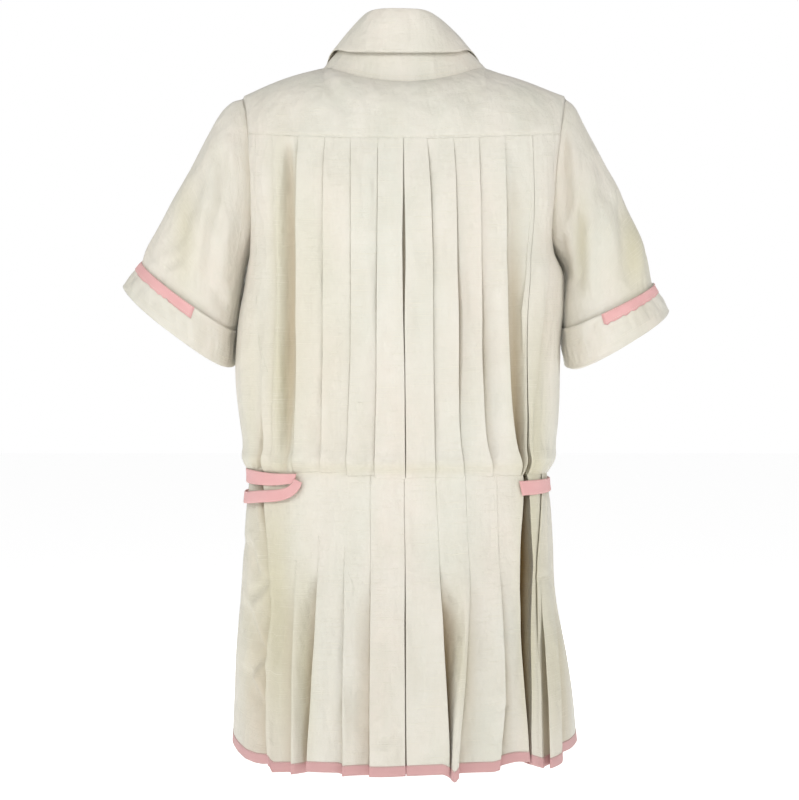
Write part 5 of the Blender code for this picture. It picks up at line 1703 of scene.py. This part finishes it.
class DRESS_OT_collar(bpy.types.Operator):
    """Make the collar's stand and its folded leaf"""
    bl_idname = "dress.collar"
    bl_label = "Collar"

    def execute(self, context):
        angles = [COLLAR_END * (1 - 2 * i / COLLAR_STEPS) for i in range(COLLAR_STEPS + 1)]
        stand = []
        for v in STAND_SHARES:
            row = []
            for angle in angles:
                seam = neck_point(angle)
                seam += Vector((seam.x, seam.y, 0)).normalized() * STAND_CLEARANCE
                top = collar_at(angle, "fold") - Vector((0, 0, STAND_DROP))
                bow = Vector((0, 0, STAND_BOW * math.sin(math.pi * max(v, 0))))
                row.append(seam.lerp(top, v) + bow)
            stand.append(row)
        stand = np.array(stand)
        cloth_piece("collar_stand", stand, silk(), DOUBLE_CLOTH, SILK_SLOT)
        seam = stitch_line(grid_row(stand, STAND_SEAM), grid_normals(stand)[int(STAND_SEAM)])
        leaf = []
        for v in np.linspace(0, 1, 22) ** 1.4:
            row = []
            for angle in angles:
                fold = collar_at(angle, "fold")
                edge = collar_at(angle, "edge")
                out = Vector((fold.x, fold.y, 0)).normalized()
                bow = (out + Vector((0, 0, 0.7))) * COLLAR_BEND * math.sin(math.pi * v**0.6)
                row.append(fold.lerp(edge, v) + out * LEAF_STANDOFF + bow)
            leaf.append(row)
        leaf = np.array(leaf)
        normals = grid_normals(leaf)
        wave = unevenness(leaf, 0.04, 8) * sizes().unevenness * 0.8
        fall = np.linspace(0, 1, len(leaf))[:, None]
        leaf = leaf + normals * (wave * np.sin(math.pi * np.clip(fall * 1.3, 0, 1)))[..., None]
        cloth_piece("collar_leaf", leaf, silk(), LEAF_CLOTH, SILK_SLOT)
        edge = stitch_line(grid_row(leaf, LEAF_SEAM), normals[int(LEAF_SEAM)])
        fronts = stitch_line(leaf[:, 2], normals[:, 2]) + stitch_line(leaf[:, -3], normals[:, -3])
        sew("collar_stitches", seam + edge + fronts)
        return {"FINISHED"}


# The tape on a cuff: from and to which of the solid's sides it runs, the rows of the cuff
# that it covers, how far out it lies in mm and how ragged its lower edge is
STRIP_SIDES = (-5, 8)
STRIP_ROWS = 7
STRIP_LIFT = 0.9
RAGGEDNESS = 1.6


class DRESS_OT_sleeves(bpy.types.Operator):
    """Make the sleeves, their turned-up cuffs and the pink tapes on them"""
    bl_idname = "dress.sleeves"
    bl_label = "Sleeves"

    def execute(self, context):
        for name, table, cuff, mirror, creases, cuff_creases, seed in (
            ("left", SLEEVE_LEFT, CUFF_LEFT, 1, LEFT_SLEEVE_CREASES, CUFF_CREASES_LEFT, 6),
            ("right", SLEEVE_RIGHT, CUFF_RIGHT, -1, RIGHT_SLEEVE_CREASES, CUFF_CREASES_RIGHT, 7),
        ):
            points = sleeve_grid(table, cuff, mirror, creases, seed)
            flip = mirror < 0
            cloth_piece(
                "sleeve_" + name, points, silk(), sizes().cloth, SILK_SLOT, closed=True, flip=flip
            )
            turned = cuff_grid(cuff, mirror, cuff_creases, seed)
            cloth_piece(
                "cuff_" + name, turned, silk(), DOUBLE_CLOTH, SILK_SLOT, closed=True,
                flip=flip
            )
            sides = sizes().sleeve_sides
            around = sides // SLEEVE_SIDES
            first, last = (end * around for end in STRIP_SIDES)
            chosen = [i % sides for i in range(first, last + 1)]
            strip = turned[:STRIP_ROWS][:, chosen]
            normals = grid_normals(strip) * mirror
            strip = strip + normals * STRIP_LIFT * MM
            ragged = np.abs(unevenness(strip[-1:], 0.006, seed))[0]
            strip[-1] += (strip[-2] - strip[-1]) * (RAGGEDNESS * ragged)[:, None]
            cloth_piece("cuff_strip_" + name, strip, pink(), STRIP_THICKNESS, TAPE_SLOT, flip=flip)
            rows = stitch_line(grid_row(strip, 0.5), normals[0])
            rows += stitch_line(grid_row(strip, 4.6), normals[4])
            inner = grid_row(turned, 2 * len(turned) / 3)
            hem = stitch_line(inner, (grid_normals(turned, True) * mirror)[-6], True)
            sew("cuff_%s_stitches" % name, rows + hem)
        return {"FINISHED"}


class DRESS_OT_waist_tapes(bpy.types.Operator):
    """Make the pink tapes at the waist"""
    bl_idname = "dress.waist_tapes"
    bl_label = "Waist tapes"

    def execute(self, context):
        for name, (table, *runs_on) in WAIST_TAPES.items():
            lift = LOWER_TAPE_LIFT if name == "left_lower" else 0.0
            points = waist_tape_grid(table, runs_on, lift)
            cloth_piece("waist_tape_" + name, points, pink(), TAPE_THICKNESS, TAPE_SLOT)
            normals = grid_normals(points)
            rows = stitch_line(grid_row(points, 1.4), normals[1])
            rows += stitch_line(grid_row(points, 5.6), normals[5])
            sew("waist_tape_%s_stitches" % name, rows, radius=0.13 * MM)
        return {"FINISHED"}


# Buttonholes, upright behind the buttons: half their slit's width and half their length in mm
BUTTONHOLE_GAP = 1.1
BUTTONHOLE_REACH = 8
BUTTONHOLE_STITCH = 1.3 * MM
BUTTONHOLE_LIFT = 0.05 * MM
PLACKET_SEAMS = (0.7, 7.3)      # columns of the placket


class DRESS_OT_placket(bpy.types.Operator):
    """Make the strip down the centre front"""
    bl_idname = "dress.placket"
    bl_label = "Placket"

    def execute(self, context):
        points = placket_grid()
        cloth_piece("front_placket", points, silk(), DOUBLE_CLOTH, SILK_SLOT, flip=True)
        normals = -grid_normals(points)
        stitches = []
        for column in PLACKET_SEAMS:
            line = grid_row(points.swapaxes(0, 1), column)
            stitches += stitch_line(line, normals[:, int(column)])
        outwards = np.array((0, -1, 0))
        for z in BUTTON_HEIGHTS:
            edge = placket_face(points, z) - BUTTONHOLE_LIFT
            for side in (-BUTTONHOLE_GAP, BUTTONHOLE_GAP):
                for step in np.arange(-BUTTONHOLE_REACH, BUTTONHOLE_REACH + 0.1, 0.8):
                    first = np.array((side * MM, edge, (z + step) * MM))
                    last = first + (math.copysign(BUTTONHOLE_STITCH, side), 0, 0)
                    stitches.append((first, last, outwards))
        sew("placket_stitches", stitches)
        return {"FINISHED"}


BUTTON_RADIUS = 5.5 * MM
BUTTON_THICKNESS = 2.4 * MM
BUTTON_STANDOFF = 0.6 * MM
BUTTON_HOLE_SPREAD = 1.3 * MM
BUTTON_HOLE_RADIUS = 0.55 * MM
THREAD_DEPTH = 0.45 * MM        # how far behind the rim the threads lie
BUTTON_RINGS = ((0.5, -0.05), (0.7, 0.0), (0.35, 0.45), (0.9, 0.12))     # inset and push, mm


def placket_face(points, z):
    """The foremost Y of the placket behind a button at a height in mm."""
    near = np.abs(points[..., 2] - z * MM) < BUTTON_RADIUS + 2 * MM
    return float(points[..., 1][near].min())


def select_flat_faces(mesh, way):
    """Select the faces of a mesh in edit mode that look along a way."""
    bm = bmesh.from_edit_mesh(mesh)
    for face in bm.faces:
        face.select_set(face.normal.dot(Vector(way)) > 0.99 and len(face.verts) > 8)
    bmesh.update_edit_mesh(mesh)


def turned_button():
    """A four-hole shell button with a raised rim, looking along -Y, its middle at the origin."""
    bpy.ops.object.select_all(action="DESELECT")
    bpy.ops.mesh.primitive_cylinder_add(
        vertices=48, radius=BUTTON_RADIUS, depth=BUTTON_THICKNESS, rotation=(math.pi / 2, 0, 0)
    )
    button = bpy.context.object
    bpy.ops.object.transform_apply(location=False, rotation=True, scale=False)
    bpy.ops.object.mode_set(mode="EDIT")
    bpy.ops.mesh.select_mode(type="FACE")
    for inset, push in BUTTON_RINGS:
        select_flat_faces(button.data, (0, -1, 0))
        bpy.ops.mesh.inset(thickness=inset * MM)
        bpy.ops.transform.translate(value=(0, push * MM, 0))
    bpy.ops.object.mode_set(mode="OBJECT")
    for x, z in ((-1, -1), (-1, 1), (1, -1), (1, 1)):
        bpy.ops.mesh.primitive_cylinder_add(
            vertices=16, radius=BUTTON_HOLE_RADIUS, depth=3 * BUTTON_THICKNESS,
            rotation=(math.pi / 2, 0, 0), location=(x * BUTTON_HOLE_SPREAD, 0, z * BUTTON_HOLE_SPREAD)
        )
        drill = bpy.context.object
        hole = button.modifiers.new("hole", "BOOLEAN")
        hole.operation = "DIFFERENCE"
        hole.object = drill
        apply_modifiers(button)
        bpy.data.objects.remove(drill)
    rounded = button.modifiers.new("rounded", "BEVEL")
    rounded.width = 0.25 * MM
    rounded.segments = 3
    rounded.limit_method = "ANGLE"
    apply_modifiers(button)
    button.select_set(True)
    bpy.context.view_layer.objects.active = button
    bpy.ops.object.shade_smooth_by_angle(angle=math.radians(35))
    return button


class DRESS_OT_buttons(bpy.types.Operator):
    """Make the five shell buttons and the thread that holds them"""
    bl_idname = "dress.buttons"
    bl_label = "Buttons"

    def execute(self, context):
        placket = placket_grid()
        pattern = turned_button()
        threads = []
        outwards = np.array((0, -1, 0))
        for number, z in enumerate(BUTTON_HEIGHTS, 1):
            y = placket_face(placket, z) - BUTTON_STANDOFF - BUTTON_THICKNESS / 2
            mesh = pattern.data.copy()
            mesh.transform(Matrix.Translation((0, y, z * MM)))
            mesh.materials.clear()
            mesh.materials.append(shell())
            piece = add_object("button_%d_shell" % number, mesh)
            finish_piece(piece, BUTTON_SLOT, "button_%d" % number)
            face = y - BUTTON_THICKNESS / 2 + THREAD_DEPTH
            for x in (-BUTTON_HOLE_SPREAD, BUTTON_HOLE_SPREAD):
                for shift in (-0.2 * MM, 0.2 * MM):
                    first = np.array((x + shift, face, z * MM - BUTTON_HOLE_SPREAD))
                    threads.append((first, first + (0, 0, 2 * BUTTON_HOLE_SPREAD), outwards))
        bpy.data.objects.remove(pattern)
        sew("button_threads", threads, radius=0.2 * MM)
        return {"FINISHED"}


FLOOR_Z = -1.0
FLOOR_REACH = 12
FLOOR_GLOW = 0.6
SKY_LIGHT = 0.41
Lamp = namedtuple("Lamp", ("name", "place", "aim", "size", "power"))
LAMPS = (
    Lamp("key_light", (0.3, 2.4, 1.0), (0, 0, -0.3), 0.9, 20),
    Lamp("side_light", (1.9, 1.2, 0.5), (0, 0, -0.4), 0.7, 10),
    Lamp("far_side_light", (-1.9, 1.2, 0.5), (0, 0, -0.4), 0.7, 9.5),
    Lamp("front_light", (-0.3, -2.4, -0.1), (0, 0, -0.4), 0.9, 18),
)
CAMERA_DISTANCE = 2.2
CAMERA_Z = -0.3594
SENSOR_WIDTH = 36
FOCAL_PIXELS = 1849
PHOTO_WIDTH, PHOTO_HEIGHT = 799, 800
AXIS_X, AXIS_Y = 404.5, 370


class DRESS_OT_stage(bpy.types.Operator):
    """Add the floor, the studio lights and the camera"""
    bl_idname = "dress.stage"
    bl_label = "Stage"

    def execute(self, context):
        bpy.ops.object.select_all(action="DESELECT")
        mesh = bpy.data.meshes.new("pale_floor")
        signs = ((-1, -1), (1, -1), (1, 1), (-1, 1))
        corners = [(x * FLOOR_REACH, y * FLOOR_REACH, FLOOR_Z) for x, y in signs]
        mesh.from_pydata(corners, [], [(0, 1, 2, 3)])
        floor = add_object("pale_floor", mesh)
        material, _, shader = principled("floor_white", (0.92, 0.92, 0.92), 0.9)
        shader.inputs["Emission Color"].default_value = (1, 1, 1, 1)
        shader.inputs["Emission Strength"].default_value = FLOOR_GLOW
        mesh.materials.append(material)
        world = bpy.data.worlds.new("studio")
        world.use_nodes = True
        tree = world.node_tree
        sky = tree.nodes["Background"]
        sky.inputs["Color"].default_value = (1, 1, 1, 1)
        seen = tree.nodes.new("ShaderNodeLightPath").outputs["Is Camera Ray"]
        strength = calculate(tree, "MULTIPLY_ADD", seen, 1 - SKY_LIGHT, SKY_LIGHT)
        tree.links.new(strength, sky.inputs["Strength"])
        context.scene.world = world
        for lamp in LAMPS:
            light = bpy.data.lights.new(lamp.name, "AREA")
            light.size = lamp.size
            light.energy = lamp.power
            hung = add_object(lamp.name, light)
            way = Vector(lamp.aim) - Vector(lamp.place)
            hung.location = lamp.place
            hung.rotation_euler = way.to_track_quat("-Z", "Y").to_euler()
        camera = bpy.data.cameras.new("photo_camera")
        picture = max(PHOTO_WIDTH, PHOTO_HEIGHT)
        camera.sensor_width = SENSOR_WIDTH
        camera.lens = SENSOR_WIDTH * FOCAL_PIXELS / picture
        camera.shift_x = (PHOTO_WIDTH / 2 - AXIS_X) / picture
        camera.shift_y = (AXIS_Y - PHOTO_HEIGHT / 2) / picture
        eye = add_object("photo_camera", camera)
        eye.location = (0, CAMERA_DISTANCE, CAMERA_Z)
        eye.rotation_euler = (math.pi / 2, 0, math.pi)
        context.scene.camera = eye
        context.scene.view_settings.view_transform = "Standard"
        return {"FINISHED"}


STEPS = (
    "yokes", "bodice", "placket", "buttons", "collar", "sleeves", "skirt", "tacks", "waist_tapes",
    "stage",
)


class DRESS_PT_panel(bpy.types.Panel):
    """Lists the dress's pieces"""
    bl_label = "Silk mini dress"
    bl_idname = "DRESS_PT_panel"
    bl_space_type = "VIEW_3D"
    bl_region_type = "UI"
    bl_category = "Dress"

    def draw(self, context):
        for group in (context.scene.dress_sizes, context.scene.dress_colours):
            for key in group.__annotations__:
                self.layout.prop(group, key)
        for step in STEPS:
            self.layout.operator("dress." + step)


CLASSES = (
    DressSizes, DressColours, DRESS_OT_yokes, DRESS_OT_bodice, DRESS_OT_placket,
    DRESS_OT_buttons, DRESS_OT_collar, DRESS_OT_sleeves, DRESS_OT_skirt, DRESS_OT_tacks,
    DRESS_OT_waist_tapes, DRESS_OT_stage, DRESS_PT_panel,
)


def register():
    for cls in CLASSES:
        bpy.utils.register_class(cls)
    bpy.types.Scene.dress_sizes = PointerProperty(type=DressSizes)
    bpy.types.Scene.dress_colours = PointerProperty(type=DressColours)


def unregister():
    del bpy.types.Scene.dress_sizes
    del bpy.types.Scene.dress_colours
    for cls in reversed(CLASSES):
        bpy.utils.unregister_class(cls)


def main():
    """Build every piece."""
    register()
    bpy.ops.object.select_all(action="DESELECT")
    for step in STEPS:
        getattr(bpy.ops.dress, step)()


if __name__ == "__main__":
    main()
